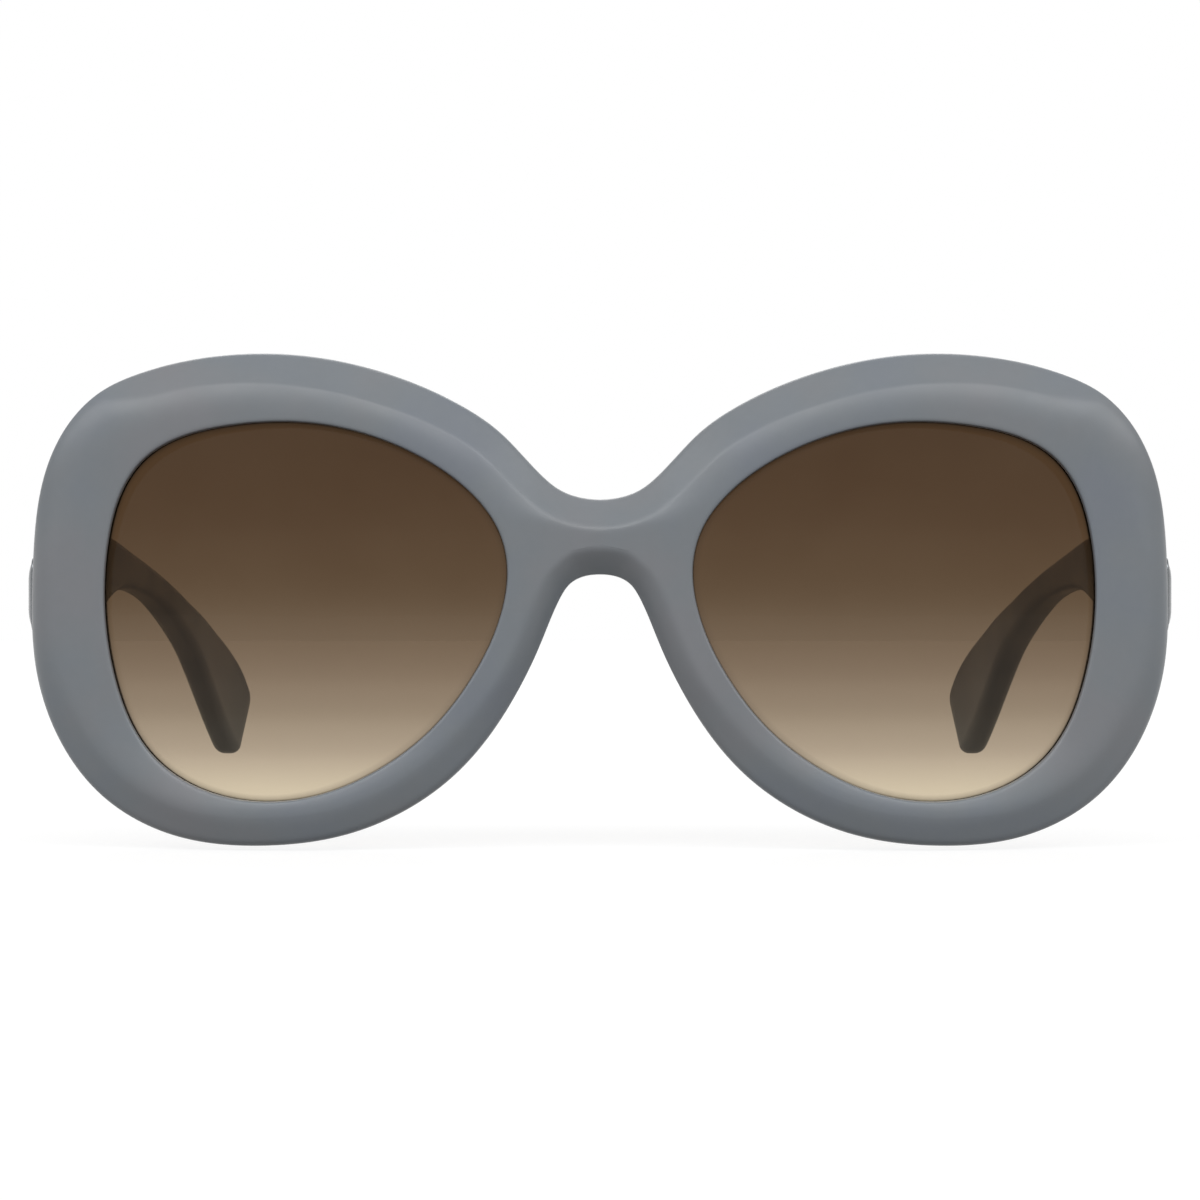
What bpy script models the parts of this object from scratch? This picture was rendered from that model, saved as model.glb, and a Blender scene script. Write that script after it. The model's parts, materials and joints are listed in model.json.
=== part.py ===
"""Oversized oval sunglasses: a bowed acetate front, two glazed lenses and two folding temples.

Metres, +Z up. The front faces -Y, the temples run back along +Y, and +X is the wearer's left.
The origin is below the middle of the assembly, level with the lowest points of the rims.
Depths are measured back from the front of the bridge, and heights from the middle of the front.
"""

import math

import bmesh
import bpy
import numpy as np
from mathutils import Matrix, Vector

MM = 0.001
DEGREE = math.pi / 180

# Running fits and cuts
CLEARANCE = 0.3 * MM
SCREW_CLEARANCE = 0.2 * MM
OVERRUN = 1.0 * MM
MERGE = 0.005 * MM

# Lens openings and lenses
LENS_WIDTH = 51.1 * MM
LENS_HEIGHT = 47.8 * MM
LENS_DROP = 1.5 * MM
LENS_RADIUS = 130.0 * MM
LENS_THICKNESS = 1.8 * MM
LENS_SETBACK = 3.6 * MM
LENS_LAP = 0.6 * MM
LENS_SPOKES = 48
LENS_RING_SHARES = (0.34, 0.68)

# Front: rims, bridge and bow
BRIDGE_WIDTH = 23.1 * MM
RIM_SIDE = 9.8 * MM
RIM_TOP = 8.8 * MM
RIM_BOTTOM = 5.67 * MM
FRONT_THICKNESS = 5.6 * MM
BOW_RADIUS = 280.0 * MM
FACE_ROUND_WIDTH = 3.2 * MM
FACE_ROUND_DEPTH = 3.0 * MM
SHOULDER_WIDTH = 4.0 * MM
SHOULDER_DEPTH = 0.6 * MM
OPENING_EDGE = 0.35 * MM
BACK_EDGE = 1.0 * MM
BROW_WIDTH = 3.8 * MM
BROW_SLOPE = 0.66
SADDLE_FLARE = 2.25 * MM
SADDLE_DEPTH = 4.0 * MM
PAD_LIP = 2.4 * MM
FRONT_STATIONS = 50
BRIDGE_POINTS = 2
BEND_SHARE = 0.35
FACE_RING_SHARES = (0.4, 0.75)
EDGE_RING_SHARES = (0.0, 0.08, 0.3, 0.62, 1.0)

# Nose pads
PAD_LENGTH = 13.6 * MM
PAD_WIDTH = 6.4 * MM
PAD_RISE = 1.8 * MM
PAD_START = 5.0 * MM
PAD_SEAT_LAND = 0.3 * MM
PAD_SETBACK = 0.9 * MM
PAD_SPLAY = 40 * DEGREE
PAD_SLICES = 11
PAD_ARC_POINTS = 8

# Endpieces and hinges
ENDPIECE_DEPTH = 16.4 * MM
ENDPIECE_WIDTH = 8.6 * MM
ENDPIECE_MARGIN = 0.2 * MM
ENDPIECE_ROUND = 0.4 * MM
ENDPIECE_ROOT = 1.9 * MM
KNUCKLE_RADIUS = 1.35 * MM
KNUCKLE_HEIGHT = 1.5 * MM
KNUCKLE_GAP = 0.3 * MM
KNUCKLE_COUNT = 5
KNUCKLE_ARM = 0.8 * MM
SCREW_RADIUS = 0.65 * MM
SCREW_HEAD_RADIUS = 1.25 * MM
SCREW_HEAD_HEIGHT = 0.9 * MM
SCREW_SLOT_WIDTH = 0.35 * MM
SCREW_SLOT_DEPTH = 0.4 * MM
FRONT_LEAF_WIDTH = 3.0 * MM
FRONT_LEAF_LAP = 0.5 * MM
LEAF_THICKNESS = 1.1 * MM
LEAF_HEIGHT = 8.4 * MM
TEMPLE_LEAF_LENGTH = 11.6 * MM
ANCHOR_RADIUS = 0.5 * MM
ANCHOR_LENGTH = 1.8 * MM
ANCHOR_SPACING = 5.0 * MM
ROUND_SIDES = 16

# Rivets that hold the temple leaf
RIVET_RADIUS = 0.6 * MM
RIVET_HEAD_RADIUS = 1.15 * MM
RIVET_HEAD_HEIGHT = 0.35 * MM
RIVET_FIRST = 5.0 * MM
RIVET_SPACING = 5.0 * MM
RIVET_DROP = 1.3 * MM
RIVET_COUNT = 2

# Temples
TEMPLE_LENGTH = 138.3 * MM
TEMPLE_HEIGHT = 14.2 * MM
TEMPLE_RISE = 1.4 * MM
TEMPLE_THICKNESS = 5.0 * MM
TEMPLE_INSET = 12.25 * MM
TEMPLE_ROUND = 1.0 * MM
TEMPLE_SLICES = 25
TIP_ROUND = 0.9 * MM

# Core wires, and the channels they are pushed into
WIRE_THICKNESS = 0.9 * MM
WIRE_HEIGHT = 1.6 * MM
WIRE_SIDE_SHARE = 0.54
WIRE_END_SHARE = 0.76

# Side plaques
PLAQUE_HEIGHT = 9.5 * MM
PLAQUE_LENGTH = 14.0 * MM
PLAQUE_FIRST = 1.3 * MM
PLAQUE_DROP = 0.7 * MM
PLAQUE_SUNK = 0.7 * MM
PLAQUE_EDGE = 0.6 * MM
PLAQUE_DOME = 1.1 * MM
PLAQUE_STEP = 0.7 * MM
PLAQUE_CORNER = 2.6 * MM
PLAQUE_CORNER_POINTS = 6

# Radius of the lens opening at equal steps round it, from the temple side over the top
OPENING_RADIUS_SHARES = (
    1.001, 1.06, 1.138, 1.057, 0.995, 0.981, 1.012, 1.044,
    0.97, 0.893, 0.877, 0.907, 0.98, 1.054, 1.075, 1.017,
)

# Outline of half the front, from the top of the bridge round to its underside, as shares of the
# reach from the lens centre: side, height, brow bevel, saddle flare, seat of the nose pad
OUTLINE_SHARES = (
    (-1.0, 0.432, 0.87, 0.0, 0.0),
    (-0.934, 0.44, 0.87, 0.0, 0.0),
    (-0.866, 0.468, 0.88, 0.0, 0.0),
    (-0.799, 0.528, 0.92, 0.0, 0.0),
    (-0.731, 0.611, 0.96, 0.0, 0.0),
    (-0.663, 0.69, 0.98, 0.0, 0.0),
    (-0.527, 0.797, 1.0, 0.0, 0.0),
    (-0.255, 0.928, 1.07, 0.0, 0.0),
    (0.019, 0.992, 1.04, 0.0, 0.0),
    (0.308, 0.993, 0.96, 0.0, 0.0),
    (0.599, 0.929, 0.86, 0.0, 0.0),
    (0.746, 0.855, 0.3, 0.0, 0.0),
    (0.894, 0.679, 0.0, 0.0, 0.0),
    (0.963, 0.49, 0.0, 0.0, 0.0),
    (1.0, 0.09, 0.0, 0.0, 0.0),
    (0.991, -0.21, 0.0, 0.0, 0.0),
    (0.894, -0.561, 0.0, 0.0, 0.0),
    (0.746, -0.786, 0.0, 0.0, 0.0),
    (0.453, -0.967, 0.0, 0.0, 0.0),
    (0.163, -1.0, 0.0, 0.0, 0.0),
    (-0.119, -0.957, 0.0, 0.0, 0.0),
    (-0.391, -0.808, 0.0, 0.0, 0.0),
    (-0.527, -0.672, 0.0, 0.0, 0.0),
    (-0.663, -0.461, 0.0, 0.0, 0.3),
    (-0.731, -0.317, 0.0, 0.18, 1.0),
    (-0.799, -0.138, 0.0, 0.45, 1.0),
    (-0.866, 0.055, 0.0, 0.72, 1.0),
    (-0.9, 0.109, 0.0, 0.85, 0.7),
    (-0.934, 0.132, 0.0, 1.0, 0.0),
    (-1.0, 0.144, 0.0, 1.0, 0.0),
)

# Upper and lower edge of a temple at matching slices: share of the length, share of the height
TEMPLE_TOP_SHARES = (
    (0.0, 0.5), (0.047, 0.507), (0.104, 0.518), (0.176, 0.525), (0.254, 0.514), (0.34, 0.458),
    (0.427, 0.373), (0.52, 0.282), (0.606, 0.169), (0.685, 0.007), (0.756, -0.148), (0.828, -0.296),
    (0.889, -0.437), (0.939, -0.57), (0.978, -0.775), (1.0, -1.1),
)
TEMPLE_BOTTOM_SHARES = (
    (0.0, -0.5), (0.047, -0.5), (0.104, -0.472), (0.172, -0.303), (0.247, -0.12), (0.333, -0.007),
    (0.427, 0.014), (0.512, -0.021), (0.595, -0.106), (0.667, -0.254), (0.731, -0.444), (0.789, -0.655),
    (0.839, -0.894), (0.885, -1.162), (0.928, -1.472), (0.968, -1.754),
)

# How a temple bends in towards the head and thins: share of length, of inset, of thickness
TEMPLE_BEND_SHARES = (
    (0.0, 0.0, 1.0), (0.115, 0.025, 0.99), (0.255, 0.102, 0.9), (0.427, 0.184, 0.76), (0.606, 0.315, 0.72),
    (0.7, 0.446, 0.7), (0.821, 0.61, 0.7), (0.943, 0.79, 0.68), (1.0, 1.0, 0.62),
)
CHANNEL_HEIGHT_SHARES = ((0.0, 0.66), (0.2, 0.58), (0.4, 0.5), (1.0, 0.5))

# Sizes that follow from the ones above
LENS_SPACING = LENS_WIDTH + BRIDGE_WIDTH
LENS_CENTRE = np.array((LENS_SPACING / 2, -LENS_DROP))
FRONT_HALF = LENS_SPACING / 2 + LENS_WIDTH / 2 + RIM_SIDE
GROOVE_DEPTH = LENS_LAP + CLEARANCE
GROOVE_HALF = LENS_THICKNESS / 2 + CLEARANCE
PAD_SEAT_DEPTH = PAD_LIP + PAD_SEAT_LAND
PAD_SEAT_WIDTH = (FRONT_THICKNESS - PAD_SEAT_DEPTH) * math.tan(PAD_SPLAY)
TEMPLE_START = ENDPIECE_DEPTH + CLEARANCE
TEMPLE_OUTER = FRONT_HALF
TEMPLE_INNER = TEMPLE_OUTER - TEMPLE_THICKNESS
HINGE_X = TEMPLE_INNER - CLEARANCE - KNUCKLE_RADIUS
HINGE_Y = TEMPLE_START + KNUCKLE_RADIUS
KNUCKLE_PITCH = KNUCKLE_HEIGHT + KNUCKLE_GAP
BARREL_HEIGHT = KNUCKLE_COUNT * KNUCKLE_PITCH - KNUCKLE_GAP
BORE_RADIUS = SCREW_RADIUS + SCREW_CLEARANCE
RIVET_HOLE_RADIUS = RIVET_RADIUS + CLEARANCE
PLAQUE_RISE = TEMPLE_RISE - PLAQUE_DROP
RIVET_RISE = TEMPLE_RISE - RIVET_DROP


def spline(knots, values, at, period=None):
    """Reads the smooth cubic through values at knots. With a period the curve closes on itself."""
    knots = np.asarray(knots, float)
    values = np.asarray(values, float)
    at = np.asarray(at, float)
    if period:
        knots = np.append(knots, knots[0] + period)
        values = np.vstack([values, values[:1]])
        at = knots[0] + (at - knots[0]) % period
    gaps = np.diff(knots)
    slopes = np.diff(values, axis=0) / gaps[:, None]
    last = len(gaps)
    system = np.eye(last + 1)
    right = np.zeros_like(values)
    for i in range(1, last):
        system[i, i - 1 : i + 2] = gaps[i - 1], 2 * (gaps[i - 1] + gaps[i]), gaps[i]
        right[i] = 6 * (slopes[i] - slopes[i - 1])
    if period:
        system[0, 0] = 2 * (gaps[-1] + gaps[0])
        system[0, 1] = gaps[0]
        system[0, last - 1] = gaps[-1]
        right[0] = 6 * (slopes[0] - slopes[-1])
        system[last, 0] = -1
    bends = np.linalg.solve(system, right)
    i = np.clip(np.searchsorted(knots, at, side="right") - 1, 0, last - 1)
    gap = gaps[i][:, None]
    before = (at - knots[i])[:, None]
    after = gap - before
    line = (values[i] * after + values[i + 1] * before) / gap
    curve = bends[i] * (after**3 / gap - gap * after) + bends[i + 1] * (before**3 / gap - gap * before)
    return line + curve / 6


def read(table, at):
    """Values of a table of shares at these shares of the length, as a smooth curve."""
    table = np.array(table)
    return spline(table[:, 0], table[:, 1:], np.atleast_1d(at))


def bow(x):
    """How far the front bends back at this distance from the bridge."""
    return x**2 / (2 * BOW_RADIUS)


def lens_depth(x, z):
    """Depth of the middle of a lens, a shallow sphere turned to follow the bow."""
    side = x - LENS_CENTRE[0]
    height = z - LENS_CENTRE[1]
    turn = side * LENS_CENTRE[0] / BOW_RADIUS
    return LENS_SETBACK + turn + (side**2 + height**2) / (2 * LENS_RADIUS)


class Opening:
    """The lens opening, as many points with their outward directions."""

    def __init__(self, count=720):
        turns = np.arange(count) * 2 * math.pi / count
        steps = np.arange(len(OPENING_RADIUS_SHARES)) * 2 * math.pi / len(OPENING_RADIUS_SHARES)
        radii = spline(steps, np.array(OPENING_RADIUS_SHARES)[:, None], turns, 2 * math.pi)
        ring = np.stack([np.cos(turns) * LENS_WIDTH / 2, np.sin(turns) * LENS_HEIGHT / 2], 1)
        self.points = LENS_CENTRE + ring * radii
        along = np.roll(self.points, -1, 0) - np.roll(self.points, 1, 0)
        along /= np.linalg.norm(along, axis=1)[:, None]
        self.outward = np.stack([along[:, 1], -along[:, 0]], 1)
        self.angles = np.unwrap(self.angle(self.points))

    @staticmethod
    def angle(points):
        away = points - LENS_CENTRE
        return np.arctan2(away[:, 1], away[:, 0])

    def at(self, angles):
        """Points and outward directions that lie at these angles from the lens centre."""
        angles = self.angles[0] + (angles - self.angles[0]) % (2 * math.pi)
        columns = np.hstack([self.points, self.outward])
        columns = np.vstack([columns, columns[:1]])
        known = np.append(self.angles, self.angles[0] + 2 * math.pi)
        read_out = np.stack([np.interp(angles, known, column) for column in columns.T], 1)
        return read_out[:, :2], read_out[:, 2:]


class Outline:
    """Half the front's outer edge, with inward directions and the profile that each place has."""

    def __init__(self, count=900):
        shares = np.array(OUTLINE_SHARES)
        reach_side = np.where(shares[:, 0] > 0, LENS_WIDTH / 2 + RIM_SIDE, LENS_SPACING / 2)
        reach_top = LENS_HEIGHT / 2 + RIM_TOP
        reach_height = np.where(shares[:, 1] > 0, reach_top, LENS_HEIGHT / 2 + RIM_BOTTOM)
        half = LENS_CENTRE + shares[:, :2] * np.stack([reach_side, reach_height], 1)
        whole = np.vstack([half, half[-2:0:-1] * (-1, 1)])
        steps = np.linalg.norm(np.roll(whole, -1, 0) - whole, axis=1)
        knots = np.append(0, np.cumsum(steps))
        at = np.linspace(0, knots[len(half) - 1], count)
        self.points = spline(knots[:-1], whole, at, knots[-1])
        self.profile = np.stack([np.interp(at, knots[: len(half)], column) for column in shares[:, 2:].T], 1)
        along = np.gradient(self.points, axis=0)
        along /= np.linalg.norm(along, axis=1)[:, None]
        along[0] = along[-1] = (1, 0)
        along[-1] = (-1, 0)
        self.inward = np.stack([along[:, 1], -along[:, 0]], 1)
        strides = np.linalg.norm(np.diff(self.points, axis=0), axis=1)
        self.lengths = np.append(0, np.cumsum(strides))
        turning = np.linalg.norm(np.diff(along, axis=0), axis=1)
        crowding = strides + turning * LENS_WIDTH * BEND_SHARE
        self.crowding = np.append(0, np.cumsum(crowding))

    def columns(self):
        return np.hstack([self.points, self.inward, self.profile])

    def stations(self, count):
        """Places along the edge that lie closer together where it bends."""
        wanted = np.linspace(0, self.crowding[-1], count)
        return np.stack([np.interp(wanted, self.crowding, column) for column in self.columns().T], 1)

    def at(self, lengths):
        """Places at these distances along the edge from the top of the bridge."""
        return np.stack([np.interp(lengths, self.lengths, column) for column in self.columns().T], 1)


def edge_width(profile):
    """How far in from the edge the front face starts to turn back."""
    nose = np.maximum(profile[:, 2], np.minimum(profile[:, 1] * 2, 1))
    return FACE_ROUND_WIDTH * (1 - nose) + np.maximum(SADDLE_FLARE * profile[:, 1], OPENING_EDGE) * nose


def edge_depth(profile):
    """How far back the front face has turned when it reaches the edge."""
    nose = np.maximum(profile[:, 2], np.minimum(profile[:, 1] * 2, 1))
    slanted = SADDLE_DEPTH + (PAD_LIP - SADDLE_DEPTH) * profile[:, 2]
    return FACE_ROUND_DEPTH * (1 - nose) + slanted * nose


def face_depth(points, inset, profile, opening_points):
    """Depth of the front face at points that lie this far in from the edge."""
    width = edge_width(profile)
    left = 1 - np.clip(inset / width, 0, 1)
    nose = np.maximum(profile[:, 2], np.minimum(profile[:, 1] * 2, 1))
    rounded = 1 - np.sqrt(1 - left**2)
    slanted = left**1.3
    edge = edge_depth(profile) * (rounded * (1 - nose) + slanted * nose)
    brow = np.maximum(BROW_WIDTH * profile[:, 0] - inset, 0) * BROW_SLOPE
    from_opening = np.linalg.norm(points - opening_points, axis=1)
    shoulder = SHOULDER_DEPTH * np.clip(1 - from_opening / SHOULDER_WIDTH, 0, 1) ** 2
    return bow(points[:, 0]) + shoulder + np.maximum(edge, brow)


def solid(points, depths):
    """Corners in space from points on the front view and their depths."""
    return np.stack([points[:, 0], depths, points[:, 1]], 1)


def front_rings():
    """Rings of half the front, from its outer edge over the face, through the lens opening and
    over the back. A ring is either open, from the top of the bridge to its underside, or closed
    by a few points on the middle plane."""
    outline = Outline()
    opening = Opening()
    places = outline.stations(FRONT_STATIONS)
    points, inward, profile = places[:, :2], places[:, 2:4], places[:, 4:]
    width = edge_width(profile)
    seat = profile[:, 2]
    band = np.maximum(np.maximum(BROW_WIDTH * profile[:, 0], width + OPENING_EDGE), PAD_SEAT_WIDTH * seat + BACK_EDGE)
    inner = points + inward * band[:, None]
    rise = np.linspace(inner[-1, 1], inner[0, 1], BRIDGE_POINTS + 2)[1:-1]
    bridge = np.stack([np.zeros(BRIDGE_POINTS), rise], 1)
    loop = np.vstack([inner, bridge])
    lens_points, outward = opening.at(Opening.angle(loop))
    rim = lens_points[:FRONT_STATIONS]
    closed_profile = np.vstack([profile, np.zeros((BRIDGE_POINTS, profile.shape[1]))])
    wall_end = (FRONT_THICKNESS - BACK_EDGE) * (1 - seat) + PAD_SEAT_DEPTH * seat
    rings = [solid(points, bow(points[:, 0]) + wall_end)]
    for share in EDGE_RING_SHARES:
        at = points + inward * (width * share)[:, None]
        rings.append(solid(at, face_depth(at, width * share, profile, rim)))
    far = np.full(len(loop), FRONT_HALF)
    far[:FRONT_STATIONS] = band
    rings.append(solid(loop, face_depth(loop, far, closed_profile, lens_points)))
    edge = lens_points + outward * OPENING_EDGE
    for share in FACE_RING_SHARES + (1.0,):
        at = loop + (edge - loop) * share
        inset = far + np.linalg.norm(at - loop, axis=1)
        rings.append(solid(at, face_depth(at, inset, closed_profile, lens_points)))
    face = rings[-1][:, 1] + OPENING_EDGE
    back = bow(loop[:, 0]) + FRONT_THICKNESS
    back_edge = bow(edge[:, 0]) + FRONT_THICKNESS
    middle = lens_depth(lens_points[:, 0], lens_points[:, 1])
    groove = lens_points + outward * GROOVE_DEPTH
    rings.append(solid(lens_points, face))
    rings.append(solid(lens_points, middle - GROOVE_HALF))
    rings.append(solid(groove, middle - GROOVE_HALF))
    rings.append(solid(groove, middle + GROOVE_HALF))
    rings.append(solid(lens_points, middle + GROOVE_HALF))
    rings.append(solid(lens_points, back_edge - OPENING_EDGE))
    rings.append(solid(edge, back_edge))
    at = (edge + loop) / 2
    rings.append(solid(at, bow(at[:, 0]) + FRONT_THICKNESS))
    rings.append(solid(loop, back))
    turned = BACK_EDGE * (1 - seat) + PAD_SEAT_WIDTH * seat
    at = points + inward * turned[:, None]
    rings.append(solid(at, bow(at[:, 0]) + FRONT_THICKNESS))
    return rings


def front_mesh():
    """The whole front, from the half and its mirror image."""
    mesh = bmesh.new()
    rows = [[mesh.verts.new(corner) for corner in ring] for ring in front_rings()]
    for row, other in zip(rows, rows[1:] + rows[:1]):
        count = min(len(row), len(other))
        closed = count > FRONT_STATIONS
        for i in range(count if closed else count - 1):
            j = (i + 1) % count
            mesh.faces.new((row[i], row[j], other[j], other[i]))
    half = mesh.verts[:] + mesh.edges[:] + mesh.faces[:]
    copied = bmesh.ops.duplicate(mesh, geom=half)["geom"]
    other_half = [item for item in copied if isinstance(item, bmesh.types.BMVert)]
    bmesh.ops.scale(mesh, vec=(-1, 1, 1), verts=other_half)
    bmesh.ops.remove_doubles(mesh, verts=mesh.verts, dist=MERGE)
    bmesh.ops.recalc_face_normals(mesh, faces=mesh.faces)
    return mesh


def loft(rings, pinched=False):
    """A closed solid through rings of equal counts, with flat ends, or ends pinched to a point."""
    mesh = bmesh.new()
    rows = [[mesh.verts.new(corner) for corner in ring] for ring in rings]
    for row, other in zip(rows, rows[1:]):
        for i in range(len(row)):
            j = (i + 1) % len(row)
            mesh.faces.new((row[i], row[j], other[j], other[i]))
    if pinched:
        bmesh.ops.remove_doubles(mesh, verts=mesh.verts, dist=MERGE)
    else:
        mesh.faces.new(rows[0])
        mesh.faces.new(rows[-1])
    bmesh.ops.recalc_face_normals(mesh, faces=mesh.faces)
    return mesh


def block(low, high):
    """A plain box between two corners."""
    mesh = bmesh.new()
    bmesh.ops.create_cube(mesh, size=1)
    low = Vector(low)
    high = Vector(high)
    bmesh.ops.scale(mesh, vec=high - low, verts=mesh.verts)
    bmesh.ops.translate(mesh, vec=(low + high) / 2, verts=mesh.verts)
    return mesh


def rod(start, end, radius, sides=ROUND_SIDES):
    """A round bar between two points."""
    mesh = bmesh.new()
    start = Vector(start)
    end = Vector(end)
    turn = (end - start).to_track_quat("Z", "Y").to_matrix().to_4x4()
    place = Matrix.Translation((start + end) / 2) @ turn
    length = (end - start).length
    bmesh.ops.create_cone(
        mesh, cap_ends=True, segments=sides, radius1=radius, radius2=radius, depth=length, matrix=place
    )
    return mesh


def object_of(name, mesh):
    """A new object that holds this mesh."""
    data = bpy.data.meshes.new(name)
    mesh.to_mesh(data)
    mesh.free()
    piece = bpy.data.objects.new(name, data)
    bpy.context.scene.collection.objects.link(piece)
    return piece


def boolean(piece, operation, tools):
    """Cuts tools from a piece, or joins them to it, one after the other."""
    for tool in tools:
        other = object_of("tool", tool)
        step = piece.modifiers.new(operation.lower(), "BOOLEAN")
        step.operation = operation
        step.solver = "EXACT"
        step.object = other
        bpy.context.view_layer.update()
        evaluated = piece.evaluated_get(bpy.context.evaluated_depsgraph_get())
        shaped = bpy.data.meshes.new_from_object(evaluated)
        piece.modifiers.clear()
        piece.data = shaped
        bpy.data.objects.remove(other)
    return piece


def cut(piece, *tools):
    return boolean(piece, "DIFFERENCE", tools)


def join(piece, *tools):
    return boolean(piece, "UNION", tools)


def endpiece():
    """The block behind the outer rim that the temple closes against, with a rounded inner edge."""
    outline = Outline()
    low = TEMPLE_RISE - TEMPLE_HEIGHT / 2 - ENDPIECE_MARGIN
    high = TEMPLE_RISE + TEMPLE_HEIGHT / 2 + ENDPIECE_MARGIN
    outer = outline.points[outline.points[:, 0] > LENS_CENTRE[0]]
    heights = np.linspace(high, low, 5)
    order = np.argsort(outer[:, 1])
    sides = np.interp(heights, outer[order, 1], outer[order, 0]) - CLEARANCE
    inner = TEMPLE_OUTER - ENDPIECE_WIDTH
    corners = [(side, height) for side, height in zip(sides, heights)] + [(inner, low), (inner, high)]
    root = FRONT_THICKNESS - ENDPIECE_ROOT
    rings = [[(x, bow(x) + root, z) for x, z in corners], [(x, ENDPIECE_DEPTH, z) for x, z in corners]]
    mesh = loft(rings)
    inner_edges = [
        edge for edge in mesh.edges
        if all(abs(corner.co.x - inner) < MERGE and abs(corner.co.y - ENDPIECE_DEPTH) < MERGE for corner in edge.verts)
    ]
    bmesh.ops.bevel(mesh, geom=inner_edges, offset=ENDPIECE_ROUND, segments=2, profile=0.5, affect="EDGES")
    return mesh


def front_leaf_box(room=0.0):
    """The plate of the front leaf, or with room the pocket that it sits in."""
    outer = TEMPLE_INNER + FRONT_LEAF_LAP + room
    inner = TEMPLE_INNER + FRONT_LEAF_LAP - FRONT_LEAF_WIDTH - room
    half = LEAF_HEIGHT / 2 + room
    back = ENDPIECE_DEPTH + (OVERRUN if room else 0)
    low = (inner, ENDPIECE_DEPTH - LEAF_THICKNESS - room, TEMPLE_RISE - half)
    return block(low, (outer, back, TEMPLE_RISE + half))


def temple_leaf_box(room=0.0):
    """The plate of the temple leaf, or with room the pocket that it sits in."""
    inner = TEMPLE_INNER - (OVERRUN if room else 0)
    outer = TEMPLE_INNER + LEAF_THICKNESS + room
    front = TEMPLE_START + CLEARANCE - (OVERRUN if room else 0)
    half = LEAF_HEIGHT / 2 + room
    low = (inner, front, TEMPLE_RISE - half)
    return block(low, (outer, TEMPLE_START + TEMPLE_LEAF_LENGTH + room, TEMPLE_RISE + half))


def anchor_heights():
    return [TEMPLE_RISE - ANCHOR_SPACING / 2, TEMPLE_RISE + ANCHOR_SPACING / 2]


def anchor(height, room=0.0):
    """A stud under the front leaf, or with room the hole for it."""
    x = TEMPLE_INNER + FRONT_LEAF_LAP - FRONT_LEAF_WIDTH / 2
    start = ENDPIECE_DEPTH - LEAF_THICKNESS / 2
    end = ENDPIECE_DEPTH - LEAF_THICKNESS - ANCHOR_LENGTH - room
    return rod((x, start, height), (x, end, height), ANCHOR_RADIUS + room)


def knuckle_start(index):
    return TEMPLE_RISE - BARREL_HEIGHT / 2 + index * KNUCKLE_PITCH


def knuckle(index, arm_end):
    """A knuckle of the hinge: a round eye with an arm that reaches to its plate."""
    eye = [(math.cos(turn), math.sin(turn)) for turn in np.arange(ROUND_SIDES) * 2 * math.pi / ROUND_SIDES]
    low = knuckle_start(index)
    high = low + KNUCKLE_HEIGHT
    away = Vector(arm_end)
    across = Vector((-away.y, away.x)).normalized() * KNUCKLE_ARM
    rings = []
    for z in (low, high):
        rings.append([(HINGE_X + x * KNUCKLE_RADIUS, HINGE_Y + y * KNUCKLE_RADIUS, z) for x, y in eye])
    arm = []
    for z in (low, high):
        near = [(across.x, across.y), (away.x + across.x, away.y + across.y)]
        far = [(away.x - across.x, away.y - across.y), (-across.x, -across.y)]
        arm.append([(HINGE_X + x, HINGE_Y + y, z) for x, y in near + far])
    return loft(rings), loft(arm)


def bore():
    low = knuckle_start(0) - OVERRUN
    high = low + BARREL_HEIGHT + 2 * OVERRUN
    return rod((HINGE_X, HINGE_Y, low), (HINGE_X, HINGE_Y, high), BORE_RADIUS)


def front_leaf():
    """The hinge half in the front: a plate with two anchors, and the odd knuckles."""
    piece = object_of("front_hinge_leaf", front_leaf_box())
    reach = ENDPIECE_DEPTH - LEAF_THICKNESS / 2 - HINGE_Y
    for index in range(0, KNUCKLE_COUNT, 2):
        join(piece, *knuckle(index, (0, reach)))
    join(piece, *[anchor(height) for height in anchor_heights()])
    return cut(piece, bore())


def temple_leaf():
    """The hinge half in the temple: a plate held by rivets, and the even knuckles."""
    piece = object_of("temple_hinge_leaf", temple_leaf_box())
    reach = TEMPLE_INNER + LEAF_THICKNESS / 2 - HINGE_X
    for index in range(1, KNUCKLE_COUNT, 2):
        join(piece, *knuckle(index, (reach, 0)))
    cut(piece, *[rivet_hole(y) for y in rivet_places()])
    return cut(piece, bore())


def hinge_screw():
    """The screw that the hinge turns on, with a slotted head above the top knuckle."""
    low = knuckle_start(0)
    seat = low + BARREL_HEIGHT + KNUCKLE_GAP
    top = seat + SCREW_HEAD_HEIGHT
    piece = object_of("hinge_screw", rod((HINGE_X, HINGE_Y, low), (HINGE_X, HINGE_Y, top), SCREW_RADIUS))
    join(piece, rod((HINGE_X, HINGE_Y, seat), (HINGE_X, HINGE_Y, top), SCREW_HEAD_RADIUS))
    half = SCREW_SLOT_WIDTH / 2
    across = SCREW_HEAD_RADIUS + OVERRUN
    low_corner = (HINGE_X - across, HINGE_Y - half, top - SCREW_SLOT_DEPTH)
    high_corner = (HINGE_X + across, HINGE_Y + half, top + OVERRUN)
    return cut(piece, block(low_corner, high_corner))


def rivet_places():
    return [TEMPLE_START + RIVET_FIRST + i * RIVET_SPACING for i in range(RIVET_COUNT)]


def rivet_hole(y):
    start = (TEMPLE_INNER - OVERRUN, y, RIVET_RISE)
    return rod(start, (TEMPLE_OUTER + OVERRUN, y, RIVET_RISE), RIVET_HOLE_RADIUS)


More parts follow.
